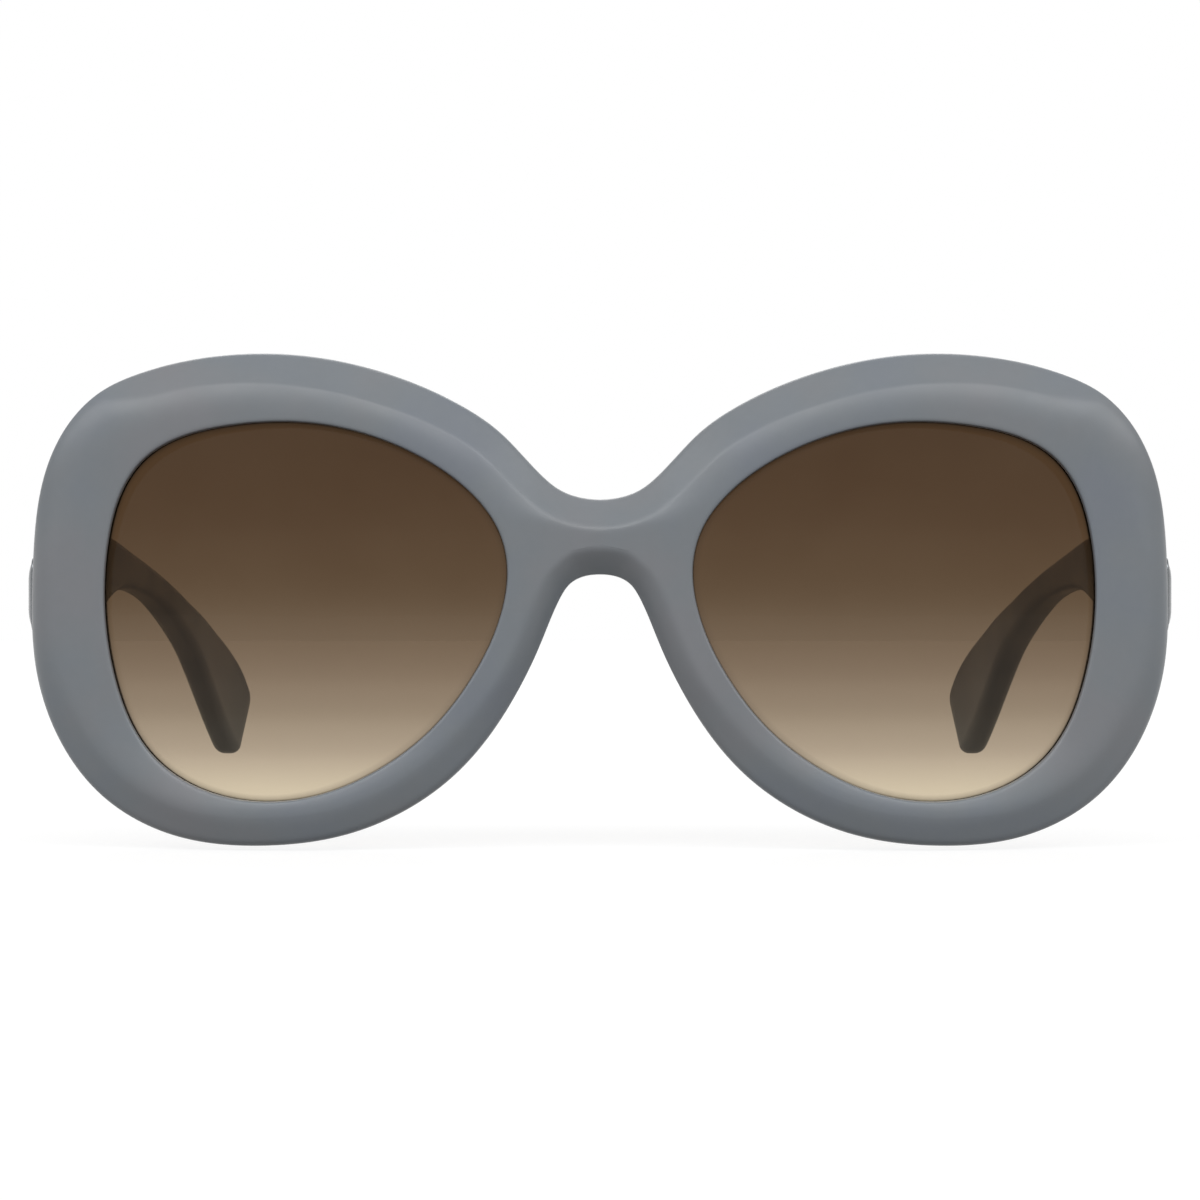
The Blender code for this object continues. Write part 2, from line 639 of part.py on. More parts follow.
def rivet_sink(y):
    """The counterbore in the plaque's pocket for a rivet's outer head."""
    outer = TEMPLE_OUTER - PLAQUE_SUNK
    start = (outer - RIVET_HEAD_HEIGHT - CLEARANCE, y, RIVET_RISE)
    return rod(start, (outer + OVERRUN, y, RIVET_RISE), RIVET_HEAD_RADIUS + CLEARANCE)


def rivet(name, y):
    """A rivet through the leaf and the temple, with a head on each side."""
    inner = TEMPLE_INNER - CLEARANCE
    outer = TEMPLE_OUTER - PLAQUE_SUNK
    start = (inner - RIVET_HEAD_HEIGHT, y, RIVET_RISE)
    end = (outer, y, RIVET_RISE)
    piece = object_of(name, rod(start, end, RIVET_RADIUS))
    inner_head = rod(start, (inner, y, RIVET_RISE), RIVET_HEAD_RADIUS)
    return join(piece, inner_head, rod((outer - RIVET_HEAD_HEIGHT, y, RIVET_RISE), end, RIVET_HEAD_RADIUS))


def temple_slices(count):
    """Matching places on a temple's upper and lower edge, as depth and height."""
    knots = np.linspace(0, 1, len(TEMPLE_TOP_SHARES))
    at = np.linspace(0, 1, count)
    size = np.array((TEMPLE_LENGTH, TEMPLE_HEIGHT))
    start = np.array((TEMPLE_START, TEMPLE_RISE))
    top = start + spline(knots, TEMPLE_TOP_SHARES, at) * size
    bottom = start + spline(knots, TEMPLE_BOTTOM_SHARES, at) * size
    return top, bottom


def temple_side(depth):
    """Inner face and thickness of a temple at this depth."""
    share = (depth - TEMPLE_START) / TEMPLE_LENGTH
    inset, thickness = read(TEMPLE_BEND_SHARES, share)[0]
    return TEMPLE_INNER - inset * TEMPLE_INSET, thickness * TEMPLE_THICKNESS


def slice_ring(top, bottom, in_share, out_share, low, high, corner):
    """A ring across a temple. Shares run through its thickness, low and high along the slice."""
    height = np.linalg.norm(top - bottom)
    along = (top - bottom) / height
    ring = []
    steps = (0, 45, 90) if corner else (45,)
    for sign_x, sign_z, first in ((1, 1, 0), (-1, 1, 90), (-1, -1, 180), (1, -1, 270)):
        for step in steps:
            turn = (first + step) * DEGREE
            away = (high if sign_z > 0 else low) - sign_z * corner + corner * math.sin(turn)
            place = bottom + along * away
            inner, thickness = temple_side(place[0])
            share = out_share if sign_x > 0 else in_share
            side = inner + thickness * share - sign_x * corner + corner * math.cos(turn)
            ring.append((side, place[0], place[1]))
    return ring


def temple_body():
    """The acetate temple as a loft, thinner and rounded off at its tip."""
    tops, bottoms = temple_slices(TEMPLE_SLICES)
    rings = []
    for top, bottom in zip(tops, bottoms):
        height = np.linalg.norm(top - bottom)
        rings.append(slice_ring(top, bottom, 0, 1, 0, height, TEMPLE_ROUND))
    beyond = np.array((tops[-1] - tops[-2], bottoms[-1] - bottoms[-2])).mean(axis=0)
    beyond *= TIP_ROUND / np.linalg.norm(beyond)
    top = tops[-1] + beyond
    bottom = bottoms[-1] + beyond
    height = np.linalg.norm(top - bottom)
    small = TEMPLE_ROUND / 2
    shrink = TIP_ROUND / TEMPLE_THICKNESS
    rings.append(slice_ring(top, bottom, shrink, 1 - shrink, TIP_ROUND, height - TIP_ROUND, small))
    return loft(rings)


def wire_path(thickness, height, start, end_share):
    """A flat strip that follows the middle of a temple."""
    tops, bottoms = temple_slices(TEMPLE_SLICES)
    rings = []
    for top, bottom in zip(tops, bottoms):
        share = (top[0] + bottom[0]) / 2
        share = (share - TEMPLE_START) / TEMPLE_LENGTH
        if share > end_share:
            break
        centre = bottom + (top - bottom) * read(CHANNEL_HEIGHT_SHARES, share)[0]
        along = (top - bottom) / np.linalg.norm(top - bottom)
        ring = []
        for sign_x, sign_z in ((1, 1), (-1, 1), (-1, -1), (1, -1)):
            place = centre + along * sign_z * height / 2
            inner, wall = temple_side(max(place[0], TEMPLE_START))
            side = inner + wall * WIRE_SIDE_SHARE + sign_x * thickness / 2
            ring.append((side, place[0], place[1]))
        rings.append(ring)
    shift = start - TEMPLE_START
    rings[0] = [(x, y + shift, z) for x, y, z in rings[0]]
    return rings


def core_wire():
    """The flat metal strip inside a temple, which lets an optician bend it."""
    rings = wire_path(WIRE_THICKNESS, WIRE_HEIGHT, TEMPLE_START + CLEARANCE, WIRE_END_SHARE)
    last = np.array(rings[-1])
    back = last - np.array(rings[-2])
    rings[-1] = last - back / np.linalg.norm(back, axis=1)[:, None] * CLEARANCE
    return object_of("core_wire", loft(rings))


def wire_channel():
    room = 2 * CLEARANCE
    return loft(wire_path(WIRE_THICKNESS + room, WIRE_HEIGHT + room, TEMPLE_START - OVERRUN, WIRE_END_SHARE))


def plaque_ring(grow, side):
    """The plaque's outline, a rectangle with round corners, made larger or smaller all round."""
    half_length = PLAQUE_LENGTH / 2 + grow
    half_height = PLAQUE_HEIGHT / 2 + grow
    corner = min(PLAQUE_CORNER + grow, half_height, half_length)
    corner = max(corner, half_height / 3)
    middle = TEMPLE_START + PLAQUE_FIRST + PLAQUE_LENGTH / 2
    ring = []
    for sign_y, sign_z, first in ((1, 1, 0), (-1, 1, 90), (-1, -1, 180), (1, -1, 270)):
        for step in np.linspace(0, 90, PLAQUE_CORNER_POINTS):
            turn = (first + step) * DEGREE
            y = middle + sign_y * (half_length - corner) + corner * math.cos(turn)
            z = PLAQUE_RISE + sign_z * (half_height - corner) + corner * math.sin(turn)
            ring.append((side, y, z))
    return ring


def plaque_pocket():
    floor = TEMPLE_OUTER - PLAQUE_SUNK
    return loft([plaque_ring(CLEARANCE, floor), plaque_ring(CLEARANCE, TEMPLE_OUTER + OVERRUN)])


def side_plaque():
    """A bare metal plaque with a stepped border and a low dome, let into the temple's outer face."""
    back = TEMPLE_OUTER - PLAQUE_SUNK + CLEARANCE
    edge = TEMPLE_OUTER + PLAQUE_EDGE
    small = PLAQUE_STEP / 4
    rings = [
        plaque_ring(0, back),
        plaque_ring(0, edge - small),
        plaque_ring(-small, edge),
        plaque_ring(-PLAQUE_STEP, edge),
        plaque_ring(-PLAQUE_STEP - small, edge + PLAQUE_DOME / 3),
    ]
    for share in (0.3, 0.6, 0.85):
        inset = PLAQUE_STEP + small + share * (PLAQUE_HEIGHT / 2 - PLAQUE_STEP - small)
        lift = 1 / 3 + (1 - (1 - share) ** 2) * 2 / 3
        rings.append(plaque_ring(-inset, edge + PLAQUE_DOME * lift))
    return object_of("side_plaque", loft(rings))


def temple():
    """The temple with its wire channel, leaf pocket, plaque pocket and rivet holes."""
    piece = object_of("temple", temple_body())
    cut(piece, wire_channel(), temple_leaf_box(CLEARANCE), plaque_pocket())
    for y in rivet_places():
        cut(piece, rivet_hole(y), rivet_sink(y))
    return piece


def lens():
    """A lens: two parallel domed faces and the edge that lies in the rim's groove."""
    opening = Opening()
    step = len(opening.points) // LENS_SPOKES
    edge = (opening.points + opening.outward * LENS_LAP)[::step]
    mesh = bmesh.new()
    rows = []
    for side in (-1, 1):
        shift = side * LENS_THICKNESS / 2
        shares = LENS_RING_SHARES + (1.0,)
        for share in shares if side < 0 else shares[::-1]:
            ring = LENS_CENTRE + (edge - LENS_CENTRE) * share
            depths = lens_depth(ring[:, 0], ring[:, 1]) + shift
            rows.append([mesh.verts.new(corner) for corner in solid(ring, depths)])
    for row, other in zip(rows, rows[1:]):
        for i in range(len(row)):
            j = (i + 1) % len(row)
            mesh.faces.new((row[i], row[j], other[j], other[i]))
    for row, side in ((rows[0], -1), (rows[-1], 1)):
        depth = LENS_SETBACK + side * LENS_THICKNESS / 2
        middle = mesh.verts.new((LENS_CENTRE[0], depth, LENS_CENTRE[1]))
        for i in range(len(row)):
            mesh.faces.new((row[i], row[(i + 1) % len(row)], middle))
    bmesh.ops.recalc_face_normals(mesh, faces=mesh.faces)
    return object_of("lens", mesh)


def nose_pad():
    """A pad with a flat back on the slanted seat of the rim and a rounded face to the nose."""
    outline = Outline()
    start = outline.lengths[-1] - PAD_START
    along = np.array((math.sin(PAD_SPLAY), math.cos(PAD_SPLAY)))
    rise = np.array((-math.cos(PAD_SPLAY), math.sin(PAD_SPLAY)))
    seat = np.array((0, PAD_SEAT_DEPTH)) + rise * CLEARANCE
    middle = seat + along * (PAD_WIDTH / 2 + PAD_SETBACK)
    rings = []
    for share in -np.cos(np.linspace(0, math.pi, PAD_SLICES)):
        place = outline.at([start - PAD_LENGTH * (1 + share) / 2])
        size = (1 - abs(share) ** 2.4) ** (1 / 2.4)
        point, inward = place[0, :2], place[0, 2:4]
        ring = []
        for turn in np.linspace(0, math.pi, PAD_ARC_POINTS):
            across = along * math.cos(turn) * PAD_WIDTH / 2
            inset, depth = middle + (across + rise * math.sin(turn) * PAD_RISE) * size
            at = point + inward * inset
            ring.append((at[0], bow(at[0]) + depth, at[1]))
        rings.append(ring)
    return object_of("nose_pad", loft(rings, pinched=True))


def material(name, color, metallic, roughness, alpha=1.0):
    """A finish with one colour."""
    made = bpy.data.materials.new(name)
    made.use_nodes = True
    shader = made.node_tree.nodes["Principled BSDF"]
    shader.inputs["Base Color"].default_value = (*color, 1)
    shader.inputs["Metallic"].default_value = metallic
    shader.inputs["Roughness"].default_value = roughness
    shader.inputs["Alpha"].default_value = alpha
    return made


def finish(piece, name, material_of_piece, parent):
    """Names a piece, gives it its material and hangs it on the empty that it moves with."""
    piece.name = name
    piece.data.name = name
    piece.data.materials.clear()
    piece.data.materials.append(material_of_piece)
    piece.data.shade_smooth()
    piece.data.set_sharp_from_angle(angle=35 * DEGREE)
    piece.parent = parent
    piece.matrix_parent_inverse = parent.matrix_world.inverted()


def mirrored(piece):
    """The same piece for the other side of the nose."""
    data = piece.data.copy()
    data.transform(Matrix.Diagonal((-1, 1, 1, 1)))
    data.flip_normals()
    other = bpy.data.objects.new(piece.name, data)
    bpy.context.scene.collection.objects.link(other)
    return other


def empty(name, place, parent=None):
    made = bpy.data.objects.new(name, None)
    made.location = place
    bpy.context.scene.collection.objects.link(made)
    made.parent = parent
    bpy.context.view_layer.update()
    return made


def corners(pieces):
    """Lowest and highest corner of these pieces where they stand."""
    bpy.context.view_layer.update()
    found = [piece.matrix_world @ corner.co for piece in pieces for corner in piece.data.vertices]
    return np.min(found, axis=0), np.max(found, axis=0)


def front_frame():
    """The front with its endpieces, and the pockets for the hinge leaves."""
    piece = object_of("frame_front", front_mesh())
    for side in (1, -1):
        tools = [front_leaf_box(CLEARANCE)] + [anchor(height, CLEARANCE) for height in anchor_heights()]
        ends = endpiece()
        for tool in tools + [ends]:
            bmesh.ops.scale(tool, vec=(side, 1, 1), verts=tool.verts)
            bmesh.ops.recalc_face_normals(tool, faces=tool.faces)
        join(piece, ends)
        cut(piece, *tools)
    return piece


def main():
    for old in list(bpy.data.objects):
        bpy.data.objects.remove(old)
    acetate = material("grey_acetate", (0.19, 0.21, 0.24), 0.0, 0.32)
    glass = material("brown_lens", (0.16, 0.1, 0.06), 0.0, 0.05, 0.8)
    steel = material("hinge_steel", (0.55, 0.55, 0.56), 1.0, 0.3)
    wire_steel = material("core_steel", (0.5, 0.5, 0.52), 1.0, 0.4)
    dark_metal = material("plaque_metal", (0.12, 0.12, 0.13), 1.0, 0.3)
    root = empty("sunglasses", (0, 0, 0))
    hinges = {
        side: empty(f"hinge_axis_{name}", (side * HINGE_X, HINGE_Y, TEMPLE_RISE), root)
        for side, name in ((1, "left"), (-1, "right"))
    }
    finish(front_frame(), "frame_front", acetate, root)
    fixed = ((lens(), glass), (nose_pad(), acetate), (front_leaf(), steel), (hinge_screw(), steel))
    turning = (
        (temple(), acetate), (temple_leaf(), steel), (core_wire(), wire_steel), (side_plaque(), dark_metal),
        *[(rivet(name, y), steel) for name, y in zip(("front_rivet", "rear_rivet"), rivet_places())],
    )
    for pieces, moves in ((fixed, False), (turning, True)):
        for piece, look in pieces:
            base = piece.name
            other = mirrored(piece)
            finish(piece, base + "_left", look, hinges[1] if moves else root)
            finish(other, base + "_right", look, hinges[-1] if moves else root)
    pieces = [piece for piece in bpy.data.objects if piece.type == "MESH"]
    low, high = corners(pieces)
    root.location = -(low + high) / 2
    root.location.z = -low[2]
    bpy.context.view_layer.update()
    low, high = corners(pieces)
    print("size", [round(float(value) / MM, 2) for value in high - low])
    print("origin shift", [round(value / MM, 3) for value in root.location])
    for side, hinge in hinges.items():
        print("hinge", side, [round(value / MM, 3) for value in hinge.matrix_world.translation])


main()
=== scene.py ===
# %% [markdown]
# # Oversized oval sunglasses
# The CAD model gives the bodies, the hinges and the sizes. This lesson models every visible piece
# again, with more detail and a procedural material. Lengths are in metres, the front faces -Y, the
# temples run back along +Y, and +X is the wearer's left.

# %% Load the frame
import json
import math

import bmesh
import bpy
import numpy as np
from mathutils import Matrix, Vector
from numpy.linalg import norm

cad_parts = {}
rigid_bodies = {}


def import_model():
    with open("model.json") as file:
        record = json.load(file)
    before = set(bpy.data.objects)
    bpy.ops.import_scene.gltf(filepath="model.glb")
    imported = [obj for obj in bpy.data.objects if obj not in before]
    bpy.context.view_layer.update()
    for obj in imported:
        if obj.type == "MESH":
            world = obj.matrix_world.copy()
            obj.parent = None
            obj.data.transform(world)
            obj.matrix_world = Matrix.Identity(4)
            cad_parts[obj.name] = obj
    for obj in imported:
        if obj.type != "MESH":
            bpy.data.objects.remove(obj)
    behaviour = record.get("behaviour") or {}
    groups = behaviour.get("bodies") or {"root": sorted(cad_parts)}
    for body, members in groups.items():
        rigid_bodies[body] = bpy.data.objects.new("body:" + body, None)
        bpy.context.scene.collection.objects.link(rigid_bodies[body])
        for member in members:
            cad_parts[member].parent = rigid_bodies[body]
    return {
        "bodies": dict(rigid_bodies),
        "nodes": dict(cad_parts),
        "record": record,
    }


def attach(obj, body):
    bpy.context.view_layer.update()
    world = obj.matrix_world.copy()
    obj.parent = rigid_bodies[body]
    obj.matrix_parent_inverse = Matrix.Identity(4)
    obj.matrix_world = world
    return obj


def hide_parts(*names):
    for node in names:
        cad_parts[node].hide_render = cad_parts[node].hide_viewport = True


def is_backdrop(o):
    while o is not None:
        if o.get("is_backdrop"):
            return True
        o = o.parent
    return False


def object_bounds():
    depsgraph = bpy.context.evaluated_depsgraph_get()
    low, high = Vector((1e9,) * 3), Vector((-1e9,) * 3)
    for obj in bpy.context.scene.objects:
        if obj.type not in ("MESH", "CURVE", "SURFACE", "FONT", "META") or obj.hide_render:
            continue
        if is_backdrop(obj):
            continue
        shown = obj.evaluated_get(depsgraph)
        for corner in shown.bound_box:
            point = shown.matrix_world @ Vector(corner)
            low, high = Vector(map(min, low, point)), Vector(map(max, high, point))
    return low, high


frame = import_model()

cad_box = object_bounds()


def rounded(box):
    return [[round(float(value), 4) for value in corner] for corner in box]


print("bodies", list(frame["bodies"]), "box", rounded(cad_box))

# %% [markdown]
# ## Sizes
# The CAD model's sizes in millimetres, written again because this script reads only the packed
# frame. Depths are measured back from the bridge's front, heights from the middle of the front.
# The left hinge's axis is known in both frames and gives the shift between them.

# %% Sizes of the front, the lenses and the temples
MM = 0.001


def mm(*lengths):
    return [length * MM for length in lengths]


LENS_WIDTH, LENS_HEIGHT, LENS_DROP = mm(51.1, 47.8, 1.5)
LENS_RADIUS, LENS_THICKNESS, LENS_SETBACK, LENS_LAP = mm(130, 1.8, 3.6, 0.6)
BRIDGE_WIDTH = 23.1 * MM
RIM_SIDE, RIM_TOP, RIM_BOTTOM = mm(9.8, 8.8, 5.67)
THICKNESS, BOW_RADIUS = mm(5.6, 280)
CLEARANCE = 0.3 * MM
LENS_SPACING = LENS_WIDTH + BRIDGE_WIDTH
LENS_CENTRE = np.array((LENS_SPACING / 2, -LENS_DROP))
FRONT_HALF = LENS_SPACING / 2 + LENS_WIDTH / 2 + RIM_SIDE
TEMPLE_LENGTH, TEMPLE_HEIGHT, TEMPLE_RISE = mm(138.3, 14.2, 1.4)
TEMPLE_THICKNESS, TEMPLE_INSET = mm(5, 12.25)
ENDPIECE_DEPTH = 16.4 * MM
TEMPLE_START = ENDPIECE_DEPTH + CLEARANCE
TEMPLE_OUTER = FRONT_HALF
TEMPLE_INNER = TEMPLE_OUTER - TEMPLE_THICKNESS
KNUCKLE_RADIUS = 1.35 * MM
HINGE_X = TEMPLE_INNER - CLEARANCE - KNUCKLE_RADIUS
HINGE_Y = TEMPLE_START + KNUCKLE_RADIUS

joint = {one["name"]: one for one in frame["record"]["behaviour"]["joints"]}["left_temple_hinge"]
SHIFT = np.array(joint["pos_m"]) - (HINGE_X, HINGE_Y, TEMPLE_RISE)


def placed(x, y, z):
    """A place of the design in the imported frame."""
    return np.array((x, y, z)) + SHIFT


print("shift in mm", np.round(SHIFT / MM, 3))

# %% [markdown]
# ## Curves from the photograph
# Both outlines are read from the front view as a few points, in shares of the sizes above, and a
# cubic spline joins them without kinks, as on a maker's template. The outer edge runs from the
# bridge's top to its underside. It also carries how the face is worked: the bevel over the brow,
# the saddle's flare and the pad's seat.

# %% Outline points as shares
OPENING_RADIUS_SHARES = (
    1.001, 1.06, 1.138, 1.057, 0.995, 0.981, 1.012, 1.044,
    0.97, 0.893, 0.877, 0.907, 0.98, 1.054, 1.075, 1.017,
)
OUTLINE_SHARES = np.array((
    (-1.0, 0.432), (-0.934, 0.44), (-0.866, 0.468), (-0.799, 0.528), (-0.731, 0.611),
    (-0.663, 0.69), (-0.527, 0.797), (-0.255, 0.928), (0.019, 0.992), (0.308, 0.993),
    (0.599, 0.929), (0.746, 0.855), (0.894, 0.679), (0.963, 0.49), (1.0, 0.09), (0.991, -0.21),
    (0.894, -0.561), (0.746, -0.786), (0.453, -0.967), (0.163, -1.0), (-0.119, -0.957),
    (-0.391, -0.808), (-0.527, -0.672), (-0.663, -0.461), (-0.731, -0.317), (-0.799, -0.138),
    (-0.866, 0.055), (-0.9, 0.109), (-0.934, 0.132), (-1.0, 0.144),
))
BROW_SHARES = (0.87, 0.87, 0.88, 0.92, 0.96, 0.98, 1.0, 1.07, 1.04, 0.96, 0.86, 0.3)
SADDLE_SHARES = (0.18, 0.45, 0.72, 0.85, 1.0, 1.0)
SEAT_SHARES = (0.3, 1.0, 1.0, 1.0, 0.7, 0.0, 0.0)
work_shares = np.zeros((len(OUTLINE_SHARES), 3))
work_shares[: len(BROW_SHARES), 0] = BROW_SHARES
work_shares[-len(SADDLE_SHARES) :, 1] = SADDLE_SHARES
work_shares[-len(SEAT_SHARES) :, 2] = SEAT_SHARES
print("outline points", len(OUTLINE_SHARES), "opening points", len(OPENING_RADIUS_SHARES))


# %% A smooth curve through points
def spline(knots, values, at, period=None):
    """The cubic through values at knots. With a period it closes on itself."""
    knots, values, at = (np.asarray(item, float) for item in (knots, values, at))
    if period:
        knots = np.append(knots, knots[0] + period)
        values = np.vstack([values, values[:1]])
    gaps = np.diff(knots)
    slopes = np.diff(values, axis=0) / gaps[:, None]
    last = len(gaps)
    system, right = np.eye(last + 1), np.zeros_like(values)
    for i in range(1, last):
        system[i, i - 1 : i + 2] = gaps[i - 1], 2 * (gaps[i - 1] + gaps[i]), gaps[i]
        right[i] = 6 * (slopes[i] - slopes[i - 1])
    if period:
        system[0, [0, 1, last - 1]] = 2 * (gaps[-1] + gaps[0]), gaps[0], gaps[-1]
        right[0] = 6 * (slopes[0] - slopes[-1])
        system[last, 0] = -1
    bends = np.linalg.solve(system, right)
    i = np.clip(np.searchsorted(knots, at, side="right") - 1, 0, last - 1)
    gap, before = gaps[i][:, None], (at - knots[i])[:, None]
    after = gap - before
    line = (values[i] * after + values[i + 1] * before) / gap
    early = bends[i] * (after**3 / gap - gap * after)
    late = bends[i + 1] * (before**3 / gap - gap * before)
    return line + (early + late) / 6


def row_at(table, place):
    """A table's values at a place between its rows."""
    return spline(table[:, 0], table[:, 1:], [place])[0]


def normals(points):
    """Unit directions square to a closed curve, to its right."""
    along = np.roll(points, -1, 0) - np.roll(points, 1, 0)
    along /= norm(along, axis=1)[:, None]
    return np.stack([along[:, 1], -along[:, 0]], 1)


def round_turns(count):
    return np.arange(count) * math.tau / count


def read_off(wanted, measure, columns):
    """The columns' values where a running measure has the wanted values."""
    return np.stack([np.interp(wanted, measure, column) for column in columns.T], 1)


# %% The lens opening
OPENING_POINTS = 1440
turns = round_turns(OPENING_POINTS)
knot_turns = round_turns(len(OPENING_RADIUS_SHARES))
radii = spline(knot_turns, np.array(OPENING_RADIUS_SHARES)[:, None], turns, math.tau)
circle = np.stack([np.cos(turns) * LENS_WIDTH / 2, np.sin(turns) * LENS_HEIGHT / 2], 1)
opening = LENS_CENTRE + circle * radii
opening_out = normals(opening)


def angle_of(points):
    away = np.atleast_2d(points) - LENS_CENTRE
    return np.arctan2(away[:, 1], away[:, 0])


opening_angles = np.unwrap(angle_of(opening))


def opening_at(angles):
    """Points of the opening at these angles, and the outward directions."""
    start = opening_angles[0]
    columns = np.hstack([opening, opening_out])
    columns = np.vstack([columns, columns[:1]])
    known = np.append(opening_angles, start + math.tau)
    found = read_off(start + (angles - start) % math.tau, known, columns)
    return found[:, :2], found[:, 2:]


print("opening in mm", np.round((opening.max(0) - opening.min(0)) / MM, 2))

# %% The outer edge of half the front
EDGE_POINTS, TURN_WEIGHT = 2400, 0.35
reach_side = np.where(OUTLINE_SHARES[:, 0] > 0, LENS_WIDTH / 2 + RIM_SIDE, LENS_SPACING / 2)
reach_up = LENS_HEIGHT / 2 + np.where(OUTLINE_SHARES[:, 1] > 0, RIM_TOP, RIM_BOTTOM)
knot_points = LENS_CENTRE + OUTLINE_SHARES * np.stack([reach_side, reach_up], 1)
whole = np.vstack([knot_points, knot_points[-2:0:-1] * (-1, 1)])
chords = np.append(0, np.cumsum(norm(np.roll(whole, -1, 0) - whole, axis=1)))
along_edge = np.linspace(0, chords[len(knot_points) - 1], EDGE_POINTS)
edge = spline(chords[:-1], whole, along_edge, chords[-1])
edge_in = normals(edge)
edge_in[0], edge_in[-1] = (0, -1), (0, 1)
edge_work = read_off(along_edge, chords[: len(knot_points)], work_shares)
strides = norm(np.diff(edge, axis=0), axis=1)
turning = norm(np.diff(edge_in, axis=0), axis=1)
edge_length = np.append(0, np.cumsum(strides))
crowding = np.append(0, np.cumsum(strides + turning * LENS_WIDTH * TURN_WEIGHT))


def edge_at(wanted, measure):
    """Point, inward direction and work of the edge at these values of a measure."""
    found = read_off(wanted, measure, np.hstack([edge, edge_in, edge_work]))
    return found[:, :2], found[:, 2:4], found[:, 4:]


print("edge of half the front in mm", round(edge_length[-1] / MM, 1))

# %% [markdown]
# ## Tools that every piece uses
# Nearly everything is modelled as rings: the corners of a circle are moved to the first outline,
# and the ring is extruded again and again to the next one. Each corner keeps its place along the
# ring and the number of its ring. An extrusion copies both, and they say where a corner belongs.


# %% Selecting, and starting a ring
def pick(piece):
    bpy.ops.object.select_all(action="DESELECT")
    piece.select_set(True)
    bpy.context.view_layer.objects.active = piece


def start_ring(name, ring):
    """A circle with its corners moved to the ring, left selected in edit mode."""
    bpy.ops.mesh.primitive_circle_add(vertices=len(ring), radius=LENS_WIDTH / 2, location=(0, 0, 0))
    piece = bpy.context.object
    piece.name = name
    place = piece.data.attributes.new("place", "INT", "POINT")
    place.data.foreach_set("value", range(len(ring)))
    piece.data.attributes.new("row", "INT", "POINT")
    bpy.ops.object.mode_set(mode="EDIT")
    bpy.ops.mesh.select_mode(type="VERT")
    bpy.ops.mesh.select_all(action="SELECT")
    move_ring(piece, ring, 0)
    return piece


def move_ring(piece, ring, row):
    """Moves the selected corners to their places on a ring and numbers their row."""
    mesh = bmesh.from_edit_mesh(piece.data)
    place, rows = mesh.verts.layers.int["place"], mesh.verts.layers.int["row"]
    for corner in mesh.verts:
        if corner.select:
            corner.co = Vector(ring[corner[place]])
            corner[rows] = row
    bmesh.update_edit_mesh(piece.data)


# %% Extruding rings, closing ends and finishing
def extrude_to(piece, rings, first_row):
    for row, ring in enumerate(rings, first_row):
        bpy.ops.mesh.extrude_region_move()
        move_ring(piece, ring, row)


def select_row(piece, row, places=None):
    """Selects the edges that join corners of one row, or only those of some places."""
    bpy.ops.mesh.select_all(action="DESELECT")
    mesh = bmesh.from_edit_mesh(piece.data)
    place, rows = mesh.verts.layers.int["place"], mesh.verts.layers.int["row"]
    for line in mesh.edges:
        ends = line.verts
        if all(end[rows] == row and (places is None or end[place] < places) for end in ends):
            line.select_set(True)
    mesh.select_flush_mode()
    bmesh.update_edit_mesh(piece.data)


def turn_outwards():
    """Turns every face outwards and leaves edit mode."""
    bpy.ops.mesh.select_all(action="SELECT")
    bpy.ops.mesh.normals_make_consistent(inside=False)
    bpy.ops.object.mode_set(mode="OBJECT")


def merge_and_turn(distance=0.002 * MM):
    bpy.ops.mesh.select_all(action="SELECT")
    bpy.ops.mesh.remove_doubles(threshold=distance)
    turn_outwards()


def loft(name, rings):
    """A closed solid through rings, with a flat face at both ends."""
    rings = [list(ring) for ring in rings]
    piece = start_ring(name, rings[0])
    extrude_to(piece, rings[1:], 1)
    for row in (len(rings) - 1, 0):
        select_row(piece, row)
        bpy.ops.mesh.edge_face_add()
    merge_and_turn()
    return piece


# %% Modifiers that are applied at once
def modify(piece, kind, **settings):
    pick(piece)
    bpy.ops.object.modifier_add(type=kind)
    step = piece.modifiers[-1]
    for name, value in settings.items():
        setattr(step, name, value)
    bpy.ops.object.modifier_apply(modifier=step.name)
    return piece


def combine(piece, operation, tools):
    """Cuts the tools from a piece or joins them to it, and removes them."""
    for tool in tools:
        modify(piece, "BOOLEAN", operation=operation, solver="EXACT", object=tool)
        bpy.data.objects.remove(tool)
    return piece


def smooth(piece, degrees):
    """Smooth shading that stops at edges sharper than this angle."""
    pick(piece)
    bpy.ops.object.shade_smooth_by_angle(angle=math.radians(degrees))
    return piece


def bevel(piece, width, segments, degrees=40):
    return modify(piece, "BEVEL", width=width, segments=segments, angle_limit=math.radians(degrees))


# %% Cubes, cylinders and twins
def applied(name):
    """Applies the new object's place, turn and scale, and names it."""
    bpy.ops.object.transform_apply(location=True, rotation=True, scale=True)
    bpy.context.object.name = name
    return bpy.context.object


def box(name, low, high):
    """A cube that is moved and scaled to lie between two corners."""
    low, high = Vector(low), Vector(high)
    bpy.ops.mesh.primitive_cube_add(size=1, location=(low + high) / 2, scale=high - low)
    return applied(name)


def round_bar(name, start, end, radius, sides=40):
    """A cylinder from one point to another, along X, Y or Z."""
    start, end = Vector(start), Vector(end)
    along = end - start
    turn = along.to_track_quat("Z", "Y").to_euler()
    bpy.ops.mesh.primitive_cylinder_add(
        vertices=sides, radius=radius, depth=along.length, location=(start + end) / 2, rotation=turn
    )
    return applied(name)


